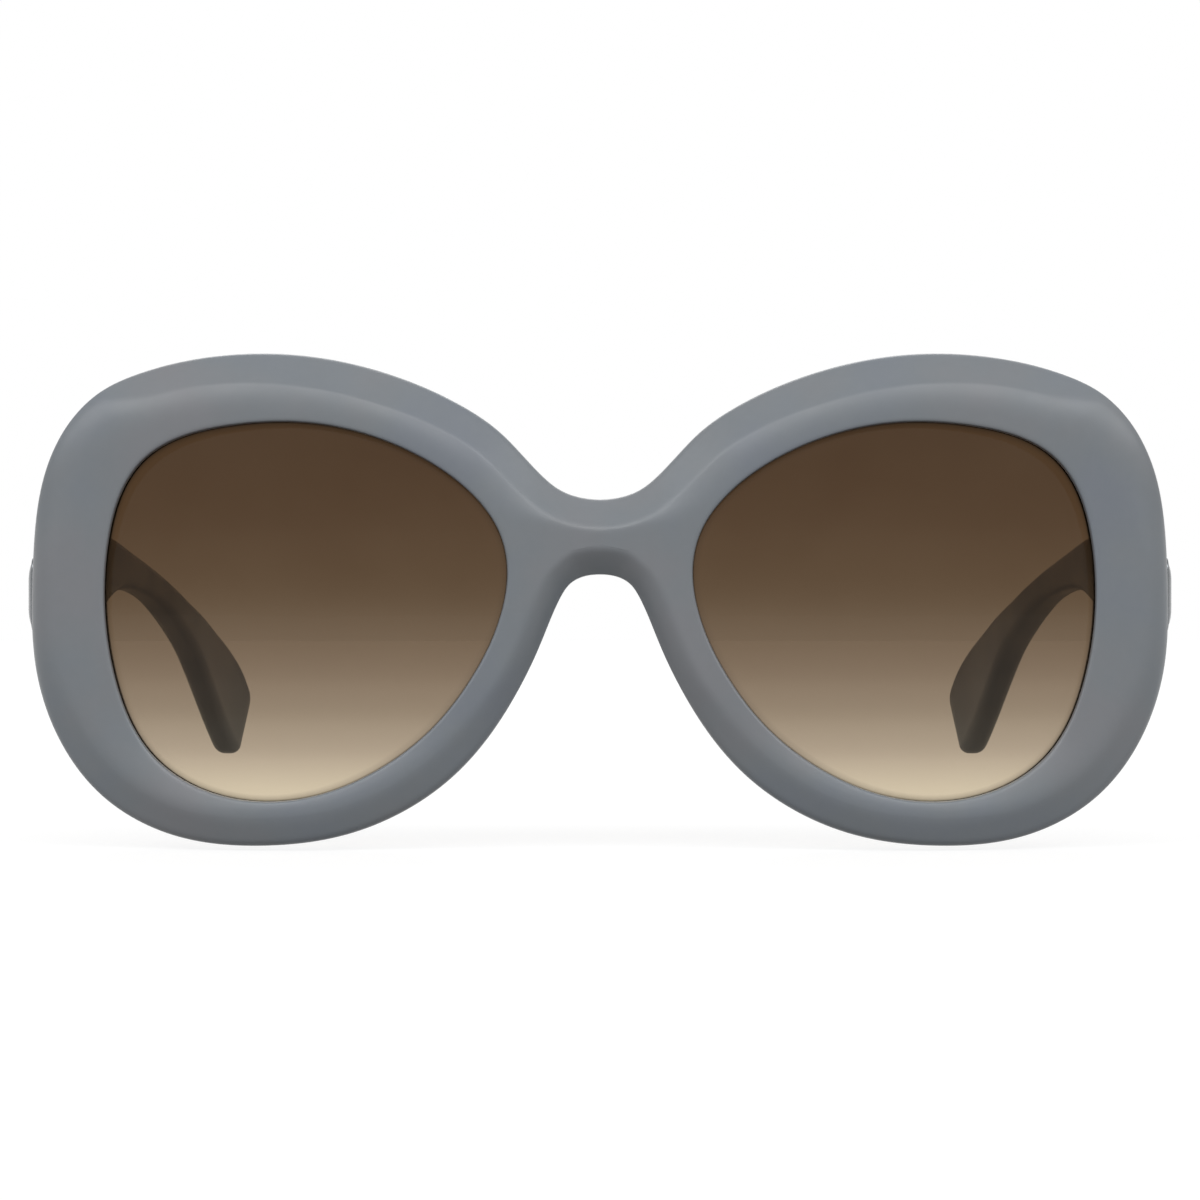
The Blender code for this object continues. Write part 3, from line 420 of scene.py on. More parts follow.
def pair(piece):
    """A left piece, and its twin for the right side with a mesh of its own."""
    pick(piece)
    bpy.ops.object.duplicate()
    bpy.context.object.scale.x = -1
    twin = applied(piece.name.replace("left", "right"))
    bpy.ops.object.mode_set(mode="EDIT")
    turn_outwards()
    return piece, twin


def faces(piece):
    return len(piece.data.polygons)


print("tools ready")

# %% [markdown]
# ## The front
# The real front is milled from a sheet of acetate, bent to a shallow bow, and tumbled until its
# edges are round. Here half of it is a net of rings: from where the flat face begins they go out
# over the rounded edge, and in through the lens groove and over the back. A mirror modifier adds
# the other half. Rings give an even surface, without dents in the long soft reflections.

# %% Shape of the face
FACE_ROUND_WIDTH, FACE_ROUND_DEPTH = mm(3.2, 3.0)
ROLL_WIDTH, ROLL_WIDER_ABOVE, ROLL_NARROWER_AT_BRIDGE = mm(3.2, 4.3, 2.7)
ROLL_NARROWER_AT_CORNER, ROLL_SHALLOWER_AT_CORNER = mm(0.8, 1.3)
LOWER_WIDTH, LOWER_SLOPE, LOWER_SOFT, LOWER_EDGE = 5.1 * MM, 0.46, 2.2 * MM, 0.8 * MM
SHOULDER_WIDTH, SHOULDER_DEPTH = mm(4.0, 0.6)
OPENING_EDGE, BACK_EDGE, GROOVE_EDGE = mm(0.35, 1.0, 0.1)
BROW_WIDTH, BROW_SLOPE, BROW_ROLL_DEPTH, BROW_EDGE = 3.8 * MM, 0.74, 4.8 * MM, 0.4 * MM
SADDLE_FLARE, SADDLE_DEPTH, FLANK_FLARE = mm(3.3, 2.7, 3.0)
FLARE_POWER, FLANK_SOFTER = 1.2, 0.4
PAD_LIP, PAD_SEAT_LAND, PAD_SPLAY = 2.4 * MM, 0.3 * MM, math.radians(40)
PAD_SEAT_DEPTH = PAD_LIP + PAD_SEAT_LAND
PAD_SEAT_WIDTH = (THICKNESS - PAD_SEAT_DEPTH) * math.tan(PAD_SPLAY)
# Where a change of the face starts and where it is complete, up, down or to the side.
UPPER_FACE, LOWER_FACE, CORNER_HEIGHT = mm(3, 18), mm(4, 20), mm(6, 18)
BRIDGE_SIDE, CORNER_SIDE = mm(5, 13), mm(50, 64)


def bow(x):
    return x**2 / (2 * BOW_RADIUS)


def lens_depth(x, z):
    side, up = x - LENS_CENTRE[0], z - LENS_CENTRE[1]
    return LENS_SETBACK + side * LENS_CENTRE[0] / BOW_RADIUS + (side**2 + up**2) / (2 * LENS_RADIUS)


def nose_share(work):
    """1 along the nose, where the edge is flared and not rolled, and 0 away from it."""
    return np.maximum(work[:, 2], np.minimum(work[:, 1] * 2, 1))


def edge_width(work):
    nose = nose_share(work)
    return FACE_ROUND_WIDTH * (1 - nose) + np.maximum(SADDLE_FLARE * work[:, 1], FLANK_FLARE) * nose


def ease(value, start, end):
    share = np.clip((value - start) / (end - start), 0, 1)
    return share**2 * (3 - 2 * share)


def corner_share(points):
    """1 at the upper outer corner, where the edge is worked flatter, and 0 away from it."""
    return ease(np.abs(points[:, 0]), *CORNER_SIDE) * ease(points[:, 1], *CORNER_HEIGHT)


def roll_width(points, work):
    """How far in the face rolls back: wide at the brow, narrow beside the lens."""
    wide = ROLL_WIDTH + ROLL_WIDER_ABOVE * ease(points[:, 1], *UPPER_FACE)
    wide = wide - ROLL_NARROWER_AT_CORNER * corner_share(points)
    beside = 1 - ease(np.abs(points[:, 0]), *BRIDGE_SIDE)
    brow = ROLL_WIDTH + ROLL_WIDER_ABOVE - ROLL_NARROWER_AT_BRIDGE * beside
    return wide + (brow - wide) * work[:, 0]


def quarter_round(left):
    return 1 - np.sqrt(1 - np.clip(left, 0, 1) ** 2)


def face_depth(points, inset, work, opening_points):
    """Depth of the front face at points that lie this far in from the edge."""
    nose, facet = nose_share(work), BROW_WIDTH * work[:, 0]
    roll_depth = FACE_ROUND_DEPTH - ROLL_SHALLOWER_AT_CORNER * corner_share(points)
    roll_depth = roll_depth + (BROW_ROLL_DEPTH - roll_depth) * work[:, 0]
    rolled = roll_depth * quarter_round(1 - np.maximum(inset, facet) / roll_width(points, work))
    past = np.maximum(LOWER_WIDTH - inset, 0)
    bent = np.where(past < LOWER_SOFT, past**2 / (2 * LOWER_SOFT), past - LOWER_SOFT / 2)
    lower = LOWER_SLOPE * bent + LOWER_EDGE * quarter_round(1 - inset / LOWER_EDGE)
    below = ease(-points[:, 1], *LOWER_FACE)
    rolled = (rolled + (lower - rolled) * below) * (1 - nose)
    left = 1 - np.clip(inset / edge_width(work), 0, 1)
    flare = left ** (FLARE_POWER + FLANK_SOFTER * work[:, 2])
    slanted = (SADDLE_DEPTH + (PAD_LIP - SADDLE_DEPTH) * work[:, 2]) * flare * nose
    brow_edge = BROW_EDGE * quarter_round(1 - inset / BROW_EDGE) * work[:, 0]
    brow = np.maximum(facet - inset, 0) * BROW_SLOPE + brow_edge
    away = norm(points - opening_points, axis=1)
    near = np.clip(1 - away / SHOULDER_WIDTH, 0, 1) * below
    return bow(points[:, 0]) + SHOULDER_DEPTH * near**2 + rolled + slanted + brow


def solid(points, depths):
    """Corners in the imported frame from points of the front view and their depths."""
    return np.stack([points[:, 0], depths, points[:, 1]], 1) + SHIFT


# %% Rings of half the front
STATIONS, BRIDGE_POINTS = 120, 4
EDGE_RING_SHARES = (0.97, 0.8, 0.62, 0.45, 0.3, 0.18, 0.09, 0.03, 0.0)
points, inward, work = edge_at(np.linspace(0, crowding[-1], STATIONS), crowding)
width, seat = edge_width(work), work[:, 2]
band = np.maximum(BROW_WIDTH * work[:, 0], width + OPENING_EDGE)
band = np.maximum(band, PAD_SEAT_WIDTH * seat + BACK_EDGE)
inner = points + inward * band[:, None]
rise = np.linspace(inner[-1, 1], inner[0, 1], BRIDGE_POINTS + 2)[1:-1]
loop = np.vstack([inner, np.stack([np.zeros(BRIDGE_POINTS), rise], 1)])
rim, rim_out = opening_at(angle_of(loop))
loop_work = np.vstack([work, np.zeros((BRIDGE_POINTS, 3))])
loop_inset = np.append(band, np.full(BRIDGE_POINTS, FRONT_HALF))


def band_ring(inset):
    at = points + inward * inset[:, None]
    return solid(at, face_depth(at, inset, work, rim[:STATIONS]))


def face_ring(share):
    at = loop + (rim + rim_out * OPENING_EDGE - loop) * share
    inset = loop_inset + norm(at - loop, axis=1)
    return solid(at, face_depth(at, inset, loop_work, rim))


def back_ring(at):
    return solid(at, bow(at[:, 0]) + THICKNESS)


wall_end = (THICKNESS - BACK_EDGE) * (1 - seat) + PAD_SEAT_DEPTH * seat
out_rings = [band_ring(width * share) for share in EDGE_RING_SHARES]
out_rings.append(solid(points, bow(points[:, 0]) + wall_end))
print("rings outwards", len(out_rings), "corners on a ring", len(loop))

# %% Rings through the lens opening and over the back
FACE_RING_SHARES = (0.06, 0.2, 0.4, 0.6, 0.78, 0.92, 1.0)
BACK_RING_SHARES, BACK_EDGE_SHARES = (0.0, 0.1, 0.5, 0.92, 1.0), (0.93, 0.62, 0.3)
near_face = face_ring(1.0)[:, 1] - SHIFT[1]
lens_middle = lens_depth(rim[:, 0], rim[:, 1])
back_face = bow(rim[:, 0]) + THICKNESS
groove, half_groove = LENS_LAP + CLEARANCE, LENS_THICKNESS / 2 + CLEARANCE
groove_front, groove_back = lens_middle - half_groove, lens_middle + half_groove
in_rings = [face_ring(share) for share in FACE_RING_SHARES]
for out, depth in (
    (GROOVE_EDGE, near_face + GROOVE_EDGE), (0, near_face + OPENING_EDGE),
    (0, groove_front - GROOVE_EDGE), (GROOVE_EDGE, groove_front), (groove, groove_front),
    (groove, groove_back), (GROOVE_EDGE, groove_back), (0, groove_back + GROOVE_EDGE),
    (0, back_face - OPENING_EDGE), (GROOVE_EDGE, back_face - GROOVE_EDGE),
):
    in_rings.append(solid(rim + rim_out * out, depth))
lip = rim + rim_out * OPENING_EDGE
in_rings += [back_ring(lip + (loop - lip) * share) for share in BACK_RING_SHARES]
turned_in = BACK_EDGE * (1 - seat) + PAD_SEAT_WIDTH * seat
round_back = []
for share in BACK_EDGE_SHARES:
    turn = share * math.pi / 2
    across = turned_in * ((1 - math.cos(turn)) * (1 - seat) + share * seat)
    deep = wall_end + (THICKNESS - wall_end) * (math.sin(turn) * (1 - seat) + share * seat)
    at = points + inward * across[:, None]
    round_back.append(solid(at, bow(at[:, 0]) + deep))
print("rings inwards", len(in_rings), "over the back edge", len(round_back))

# %% Extrude the rings
OUT_ROWS_FROM = 100
front = start_ring("front", solid(loop, face_depth(loop, loop_inset, loop_work, rim)))
select_row(front, 0, STATIONS)
extrude_to(front, out_rings, OUT_ROWS_FROM)
select_row(front, 0)
extrude_to(front, in_rings, 1)
last_row = len(in_rings)
select_row(front, last_row, STATIONS)
extrude_to(front, round_back + [out_rings[-1]], last_row + 1)
merge_and_turn()
print("half front faces", faces(front))

# %% Mirror it and round it off
FRONT_MERGE = 0.01 * MM
modify(front, "MIRROR", use_clip=True, merge_threshold=FRONT_MERGE)
bpy.ops.object.mode_set(mode="EDIT")
merge_and_turn(FRONT_MERGE)
modify(front, "SUBSURF", levels=1, render_levels=1)
print("front faces", faces(front))

# %% [markdown]
# ## Endpieces
# Behind each outer rim a block is built up that the temple closes against. Its outer side follows
# the rim, its edges are bevelled, and a Boolean joins it on, as the real one is glued on.

# %% Model the endpieces and join them
ENDPIECE_WIDTH, ENDPIECE_MARGIN, ENDPIECE_ROOT = mm(8.6, 0.2, 1.9)
ENDPIECE_ROUND, ENDPIECE_STEPS = 0.5 * MM, 7
BLOCK_LOW = TEMPLE_RISE - TEMPLE_HEIGHT / 2 - ENDPIECE_MARGIN
BLOCK_HIGH = TEMPLE_RISE + TEMPLE_HEIGHT / 2 + ENDPIECE_MARGIN
outer_edge = edge[edge[:, 0] > LENS_CENTRE[0]]
outer_edge = outer_edge[np.argsort(outer_edge[:, 1])]


def endpiece_ring(depth_of):
    heights = np.linspace(BLOCK_HIGH, BLOCK_LOW, ENDPIECE_STEPS)
    outer_sides = np.interp(heights, outer_edge[:, 1], outer_edge[:, 0]) - CLEARANCE
    across = list(zip(outer_sides, heights))
    across += [(TEMPLE_OUTER - ENDPIECE_WIDTH, height) for height in (BLOCK_LOW, BLOCK_HIGH)]
    return [placed(x, depth_of(x), z) for x, z in across]


def endpiece():
    start = endpiece_ring(lambda x: bow(x) + THICKNESS - ENDPIECE_ROOT)
    end = endpiece_ring(lambda x: ENDPIECE_DEPTH)
    return bevel(loft("endpiece_left", [start, end]), ENDPIECE_ROUND, segments=4)


combine(front, "UNION", pair(endpiece()))
print("front with endpieces", faces(front))

# %% [markdown]
# ## Pockets for the hinge leaves
# The front leaf sits flush in a pocket behind each endpiece. The pocket is the leaf's own plate
# with a clearance all round, so that the two always fit.

# %% Cut the pockets in the front
FRONT_LEAF_WIDTH, FRONT_LEAF_LAP = mm(3.0, 0.5)
LEAF_THICKNESS, LEAF_HEIGHT, TEMPLE_LEAF_LENGTH = mm(1.1, 8.4, 11.6)
FRONT_LEAF_OUTER = TEMPLE_INNER + FRONT_LEAF_LAP


def leaf_box(low, high, room):
    """A leaf's plate between two places seen from above, or its pocket with room."""
    half = LEAF_HEIGHT / 2
    bottom, top = TEMPLE_RISE - half - room, TEMPLE_RISE + half + room
    return box("plate", placed(*low, bottom), placed(*high, top))


def front_leaf_box(room=0.0):
    open_back = MM if room else 0
    low = (FRONT_LEAF_OUTER - FRONT_LEAF_WIDTH - room, ENDPIECE_DEPTH - LEAF_THICKNESS - room)
    return leaf_box(low, (FRONT_LEAF_OUTER + room, ENDPIECE_DEPTH + open_back), room)


def temple_leaf_box(room=0.0):
    open_side = MM if room else 0
    low = (TEMPLE_INNER - open_side, TEMPLE_START + CLEARANCE - open_side)
    high = (TEMPLE_INNER + LEAF_THICKNESS + room, TEMPLE_START + TEMPLE_LEAF_LENGTH + room)
    return leaf_box(low, high, room)


combine(front, "DIFFERENCE", pair(front_leaf_box(CLEARANCE)))
smooth(front, degrees=32)
print("front faces with pockets", faces(front))

# %% [markdown]
# ## Nose pads
# The pads are pieces of the same acetate, glued to a slanted seat beside the nose. The section, a
# flat back and a low arch, grows and shrinks along the rim, nearly to a point at both ends.

# %% Model a nose pad and its twin
PAD_LENGTH, PAD_WIDTH, PAD_RISE = mm(13.6, 6.4, 1.8)
PAD_START, PAD_SETBACK, PAD_GLUE = mm(5, 0.9, 0.04)
PAD_OVAL, PAD_BACK_POWER, PAD_ROUND, PAD_SIDES, PAD_RINGS = 2.4, 0.9, 0.15 * MM, 36, 32
pad_along = np.array((math.sin(PAD_SPLAY), math.cos(PAD_SPLAY)))
pad_rise = np.array((-math.cos(PAD_SPLAY), math.sin(PAD_SPLAY)))
pad_middle = np.array((0, PAD_SEAT_DEPTH)) + pad_rise * PAD_GLUE
pad_middle = pad_middle + pad_along * (PAD_WIDTH / 2 + PAD_SETBACK)


def pad_ring(share):
    middle = edge_length[-1] - PAD_START - PAD_LENGTH * (1 + share) / 2
    at, into, _ = edge_at([middle], edge_length)
    size = (1 - abs(share) ** PAD_OVAL) ** (1 / PAD_OVAL)
    for turn in round_turns(PAD_SIDES):
        lift = max(math.sin(turn), 0) * PAD_RISE
        power = 1 if turn <= math.pi else PAD_BACK_POWER
        across = math.copysign(abs(math.cos(turn)) ** power, math.cos(turn))
        inset, depth = pad_middle + (pad_along * across * PAD_WIDTH / 2 + pad_rise * lift) * size
        x, z = at[0] + into[0] * inset
        yield placed(x, bow(x) + depth, z)


def nose_pad():
    spread = -np.cos(np.linspace(0, math.pi, PAD_RINGS + 2)[1:-1])
    pad = loft("nose_pad_left_piece", [pad_ring(share) for share in spread])
    return smooth(bevel(pad, PAD_ROUND, segments=3), degrees=40)


pads = pair(nose_pad())
print("pad faces", faces(pads[0]))

# %% [markdown]
# ## Lenses
# A lens is a slice of a sphere, ground to the shape of its groove. A disc of rings is bent by the
# lens curve, Solidify gives it thickness to both sides, and a small bevel is the edger's chamfer.
# Each corner stores how near it is to the rim, for a thin line of painted shade along the groove.

# %% Model a lens and its twin
# Painted shade: the lens is fully darkened up to the first inset from the rim, and the shade fades
# out by the second.
RIM_SHADE_FULL, RIM_SHADE_END, LENS_CHAMFER = mm(0.08, 0.22, 0.12)
LENS_INSETS = (-0.3 * MM, 0, RIM_SHADE_FULL, RIM_SHADE_END, MM)
LENS_RING_SHARES, EVERY = np.linspace(0.93, 0.08, 12), 15


def lens_ring(inset, share=1.0):
    at = opening[::EVERY] - opening_out[::EVERY] * inset
    at = LENS_CENTRE + (at - LENS_CENTRE) * share
    return solid(at, lens_depth(at[:, 0], at[:, 1]))


def mark_rim_shade(piece):
    """Stores how near a corner of the lens is to the rim, for a thin line of painted shade."""
    places = np.array([corner.co for corner in piece.data.vertices]) - SHIFT
    flat = places[:, ::2]
    rim_points, outwards = opening_at(angle_of(flat))
    inset = ((rim_points - flat) * outwards).sum(1)
    share = np.clip((RIM_SHADE_END - inset) / (RIM_SHADE_END - RIM_SHADE_FULL), 0, 1).astype(np.float32)
    piece.data.attributes.new("edge", "FLOAT", "POINT").data.foreach_set("value", share)


def lens():
    piece = start_ring("lens_left_piece", lens_ring(-LENS_LAP))
    rings = [lens_ring(inset) for inset in LENS_INSETS]
    rings += [lens_ring(LENS_INSETS[-1], share) for share in LENS_RING_SHARES]
    extrude_to(piece, rings, 1)
    bpy.ops.mesh.merge(type="CENTER")
    merge_and_turn()
    modify(piece, "SOLIDIFY", thickness=LENS_THICKNESS, offset=0.0, use_even_offset=True)
    smooth(bevel(piece, LENS_CHAMFER, segments=2, degrees=50), degrees=20)
    mark_rim_shade(piece)
    return piece


lenses = pair(lens())
print("lens faces", faces(lenses[0]))

# %% [markdown]
# ## Temples
# A temple is cut from a sheet: a flat outline from the side, which bends in towards the head and
# gets thinner. A slice with rounded corners stands between each pair of points of its upper and
# lower edge, and the slices are extruded one after the other. Smaller ones round off the tip.

# %% Curves of a temple
TEMPLE_TOP_SHARES = (
    (0.0, 0.5), (0.047, 0.507), (0.104, 0.518), (0.176, 0.525), (0.254, 0.517), (0.34, 0.465),
    (0.427, 0.385), (0.52, 0.294), (0.606, 0.181), (0.685, 0.034), (0.756, -0.118), (0.828, -0.264),
    (0.889, -0.417), (0.939, -0.577), (0.978, -0.805), (1.0, -1.1),
)
TEMPLE_BOTTOM_SHARES = (
    (0.0, -0.5), (0.047, -0.5), (0.104, -0.472), (0.172, -0.303), (0.247, -0.123),
    (0.333, -0.014), (0.427, 0.002), (0.512, -0.033), (0.595, -0.114), (0.667, -0.274),
    (0.731, -0.469), (0.789, -0.67), (0.839, -0.907), (0.885, -1.173), (0.928, -1.476),
    (0.968, -1.79),
)
# Place, inset of the inner face, thickness in the CAD model, and thickness in the photograph.
TEMPLE_BEND_SHARES = np.array((
    (0.0, 0.0, 1.0, 1.0), (0.115, 0.025, 0.99, 0.99), (0.255, 0.102, 0.9, 0.9),
    (0.427, 0.184, 0.76, 0.76), (0.606, 0.315, 0.72, 0.825), (0.7, 0.446, 0.7, 0.83),
    (0.821, 0.61, 0.71, 0.83), (0.943, 0.815, 0.77, 0.79), (0.972, 0.914, 0.8, 0.81),
    (1.0, 1.05, 0.84, 0.86),
))
SLICES = 61
slice_places = np.linspace(0, 1, SLICES)


def temple_line(shares):
    curve = spline(np.linspace(0, 1, len(shares)), shares, slice_places)
    return (TEMPLE_START, TEMPLE_RISE) + curve * (TEMPLE_LENGTH, TEMPLE_HEIGHT)


def temple_side(depth):
    """Inner face of a temple, and its thickness in the CAD model and in the photograph."""
    share = (depth - TEMPLE_START) / TEMPLE_LENGTH
    inset, thick, seen = row_at(TEMPLE_BEND_SHARES, share)
    return TEMPLE_INNER - inset * TEMPLE_INSET, thick * TEMPLE_THICKNESS, seen * TEMPLE_THICKNESS


tops, bottoms = temple_line(TEMPLE_TOP_SHARES), temple_line(TEMPLE_BOTTOM_SHARES)
print("temple from", np.round(tops[0] / MM, 1), "to", np.round(tops[-1] / MM, 1))

# %% Slices with rounded corners
TEMPLE_ROUND, TEMPLE_ROUNDER, ROUNDER_FROM_TO = 1.0 * MM, 0.5 * MM, (0.15, 0.4)
START_ROUND, START_BEVEL = mm(0.8, 0.15)
TIP_ROUND, TIP_REACH, TIP_SHORTER = mm(2.0, 2.6, 1.0)
TIP_SHARES = (0.0, 0.2, 0.4, 0.57, 0.71, 0.82, 0.9, 0.96, 1.0)
TIP_SHARPER, TIP_THINNER = 0.4, 0.65
slice_rounds = TEMPLE_ROUND + TEMPLE_ROUNDER * ease(slice_places, *ROUNDER_FROM_TO)


def corner_turns(steps):
    """Side, end and turning angle of each point of a rounded rectangle."""
    for side, end, first in ((1, 1, 0), (-1, 1, 90), (-1, -1, 180), (1, -1, 270)):
        for step in range(steps):
            yield side, end, math.radians(first + 90 * step / (steps - 1))


def temple_slice(top, bottom, corner=TEMPLE_ROUND, thinner=0.0, shorter=0.0):
    height = norm(top - bottom)
    along = (top - bottom) / height
    for side, end, turn in corner_turns(steps=7):
        up = height - shorter - corner if end > 0 else shorter + corner
        depth, rise = bottom + along * (up + corner * math.sin(turn))
        inner_face, _, thick = temple_side(depth)
        across = inner_face + (thick - thinner - corner if side > 0 else thinner + corner)
        yield placed(across + corner * math.cos(turn), depth, rise)


def beyond(line, further):
    """A point on the straight way on from the end of a line."""
    step = line[-1] - line[-2]
    return line[-1] + step / norm(step) * further


def temple_rings():
    first = temple_slice(tops[0], bottoms[0], START_ROUND, START_BEVEL, START_BEVEL)
    rings = [first, [corner + (0, START_BEVEL, 0) for corner in temple_slice(tops[0], bottoms[0])]]
    rings += [temple_slice(*one) for one in list(zip(tops, bottoms, slice_rounds))[1:-1]]
    for share in TIP_SHARES:
        less = TIP_ROUND * (1 - math.sqrt(1 - share**2))
        further = TIP_REACH * share - TIP_SHORTER
        top, bottom = (beyond(line, further) for line in (tops, bottoms))
        corner = slice_rounds[-1] - TIP_SHARPER * less
        rings.append(temple_slice(top, bottom, corner, less * TIP_THINNER, less))
    return rings


temple = loft("temple_left_piece", temple_rings())
print("temple faces", faces(temple))

# %% [markdown]
# ## What is cut into a temple
# Let in are the flat wire that stiffens it, the hinge leaf on the inside, the plaque on the
# outside, and the rivets that go through. Each pocket is the piece itself, a little larger, and a
# Boolean takes it away.

# %% Tools for the wire channel and the rivets
WIRE_THICKNESS, WIRE_HEIGHT, WIRE_SIDE, WIRE_END = 0.9 * MM, 1.6 * MM, 0.54, 0.76
CHANNEL_HEIGHT_SHARES = np.array(((0.0, 0.66), (0.2, 0.58), (0.4, 0.5), (1.0, 0.5)))
RIVET_PLACES = {"front": TEMPLE_START + 5 * MM, "rear": TEMPLE_START + 10 * MM}
RIVET_RISE, RIVET_RADIUS = mm(0.1, 0.6)
RIVET_HEAD_RADIUS, RIVET_HEAD_HEIGHT = mm(1.15, 0.35)
PLAQUE_SUNK = 0.7 * MM


def channel():
    """The wire's channel, open at the temple's start."""
    rings = []
    for top, bottom in zip(tops[::2], bottoms[::2]):
        share = ((top[0] + bottom[0]) / 2 - TEMPLE_START) / TEMPLE_LENGTH
        if share > WIRE_END:
            break
        centre = bottom + (top - bottom) * row_at(CHANNEL_HEIGHT_SHARES, share)
        along = (top - bottom) / norm(top - bottom)
        ring = []
        for side, end in ((1, 1), (-1, 1), (-1, -1), (1, -1)):
            depth, rise = centre + along * end * (WIRE_HEIGHT / 2 + CLEARANCE)
            inner_face, thick, _ = temple_side(max(depth, TEMPLE_START))
            across = inner_face + thick * WIRE_SIDE + side * (WIRE_THICKNESS / 2 + CLEARANCE)
            ring.append(placed(across, depth, rise))
        rings.append(ring)
    rings[0] = [corner - (0, MM, 0) for corner in rings[0]]
    return loft("channel", rings)


def bar_across(start, end, y, radius):
    return round_bar("bar", placed(start, y, RIVET_RISE), placed(end, y, RIVET_RISE), radius)


# %% Outline of the side plaque
PLAQUE_HEIGHT, PLAQUE_LENGTH, PLAQUE_FIRST, PLAQUE_DROP = mm(9.5, 14, 1.3, 0.7)
PLAQUE_CORNER, PLAQUE_EDGE, PLAQUE_DOME, PLAQUE_STEP = mm(1.5, 0.82, 0.65, 0.6)
PLAQUE_BEVEL, PLAQUE_ROUND, PLAQUE_KERB = mm(0.1, 0.2, 0.12)
DOME_SHARES, DOME_POWER = (0.03, 0.08, 0.14, 0.22, 0.34, 0.48, 0.64, 0.8, 0.93), 4
ROUND_TURNS = np.linspace(0, 1, 5) * math.pi / 2


def plaque_ring(grow, side):
    half_length, half_height = PLAQUE_LENGTH / 2 + grow, PLAQUE_HEIGHT / 2 + grow
    corner = max(min(PLAQUE_CORNER + grow, half_height), half_height / 3)
    middle_y = TEMPLE_START + PLAQUE_FIRST + PLAQUE_LENGTH / 2
    middle_z = TEMPLE_RISE - PLAQUE_DROP
    for forth, up, turn in corner_turns(steps=9):
        y = middle_y + forth * (half_length - corner) + corner * math.cos(turn)
        z = middle_z + up * (half_height - corner) + corner * math.sin(turn)
        yield placed(side, y, z)


# %% Cut the temple and copy it
OUTSIDE = TEMPLE_OUTER + MM
pocket_floor = TEMPLE_OUTER - PLAQUE_SUNK
pocket_rings = [plaque_ring(CLEARANCE, side) for side in (pocket_floor, OUTSIDE)]
cutters = [channel(), temple_leaf_box(CLEARANCE), loft("plaque_pocket", pocket_rings)]
sink = pocket_floor - RIVET_HEAD_HEIGHT - CLEARANCE
for y in RIVET_PLACES.values():
    cutters.append(bar_across(TEMPLE_INNER - MM, OUTSIDE, y, RIVET_RADIUS + CLEARANCE))
    cutters.append(bar_across(sink, OUTSIDE, y, RIVET_HEAD_RADIUS + CLEARANCE))
temples = pair(smooth(combine(temple, "DIFFERENCE", cutters), degrees=35))
print("temple faces", faces(temple))

# %% [markdown]
# ## Side plaques
# The photograph shows a domed plaque in profile beside each rim, left bare here. The rings of its
# outline rise to a flat border, step in, and climb to a low dome, as on a pressed metal cap. The
# last ring is closed with a flat face, too small to see.

# %% Model a plaque and its twin
def plaque():
    back, border = pocket_floor + CLEARANCE, TEMPLE_OUTER + PLAQUE_EDGE
    rings = [plaque_ring(-PLAQUE_BEVEL, back), plaque_ring(0, back + PLAQUE_BEVEL)]
    for turn in ROUND_TURNS:
        inwards, down = PLAQUE_ROUND * (1 - math.cos(turn)), PLAQUE_ROUND * (1 - math.sin(turn))
        rings.append(plaque_ring(-inwards, border - down))
    start = PLAQUE_STEP + PLAQUE_BEVEL
    rings.append(plaque_ring(PLAQUE_BEVEL / 2 - PLAQUE_STEP, border))
    rings.append(plaque_ring(-start, border + PLAQUE_KERB))
    for share in DOME_SHARES:
        lift = PLAQUE_KERB + (PLAQUE_DOME - PLAQUE_KERB) * (1 - (1 - share) ** DOME_POWER)
        rings.append(plaque_ring(-start - share * (PLAQUE_HEIGHT / 2 - start), border + lift))
    return smooth(loft("plaque_left_piece", rings), degrees=40)


plaques = pair(plaque())
print("plaque faces", faces(plaques[0]))

# %% [markdown]
# ## Hinges
# Two leaves interlock in five knuckles round a slotted screw. A plate is a cube, and a knuckle is
# a short cylinder with an arm. Booleans join and bore them, and a fine bevel breaks the edges.

# %% Knuckles
KNUCKLE_HEIGHT, KNUCKLE_GAP, KNUCKLE_COUNT, KNUCKLE_ARM = 1.5 * MM, 0.3 * MM, 5, 0.8 * MM
BARREL_HEIGHT = KNUCKLE_COUNT * (KNUCKLE_HEIGHT + KNUCKLE_GAP) - KNUCKLE_GAP
BARREL_LOW = TEMPLE_RISE - BARREL_HEIGHT / 2
SCREW_RADIUS, BORE_RADIUS, LEAF_BEVEL = mm(0.65, 0.85, 0.07)


def on_axis(z):
    return placed(HINGE_X, HINGE_Y, z)


def knuckle(index, away_x, away_y):
    """One eye of the barrel, and the arm to its plate."""
    low = BARREL_LOW + index * (KNUCKLE_HEIGHT + KNUCKLE_GAP)
    high = low + KNUCKLE_HEIGHT
    eye = round_bar("eye", on_axis(low), on_axis(high), KNUCKLE_RADIUS)
    half_x, half_y = (abs(away) / 2 if away else KNUCKLE_ARM for away in (away_x, away_y))
    centre, half = np.array((away_x / 2, away_y / 2, 0)), (half_x, half_y, 0)
    return [eye, box("arm", on_axis(low) + centre - half, on_axis(high) + centre + half)]


def bored(piece):
    ends = on_axis(BARREL_LOW - MM), on_axis(BARREL_LOW + BARREL_HEIGHT + MM)
    combine(piece, "DIFFERENCE", [round_bar("bore", *ends, BORE_RADIUS)])
    return smooth(bevel(piece, LEAF_BEVEL, segments=2), degrees=30)


# %% Front leaf and temple leaf
ANCHOR_SPREAD, ANCHOR_LENGTH, ANCHOR_RADIUS = mm(2.5, 1.8, 0.5)


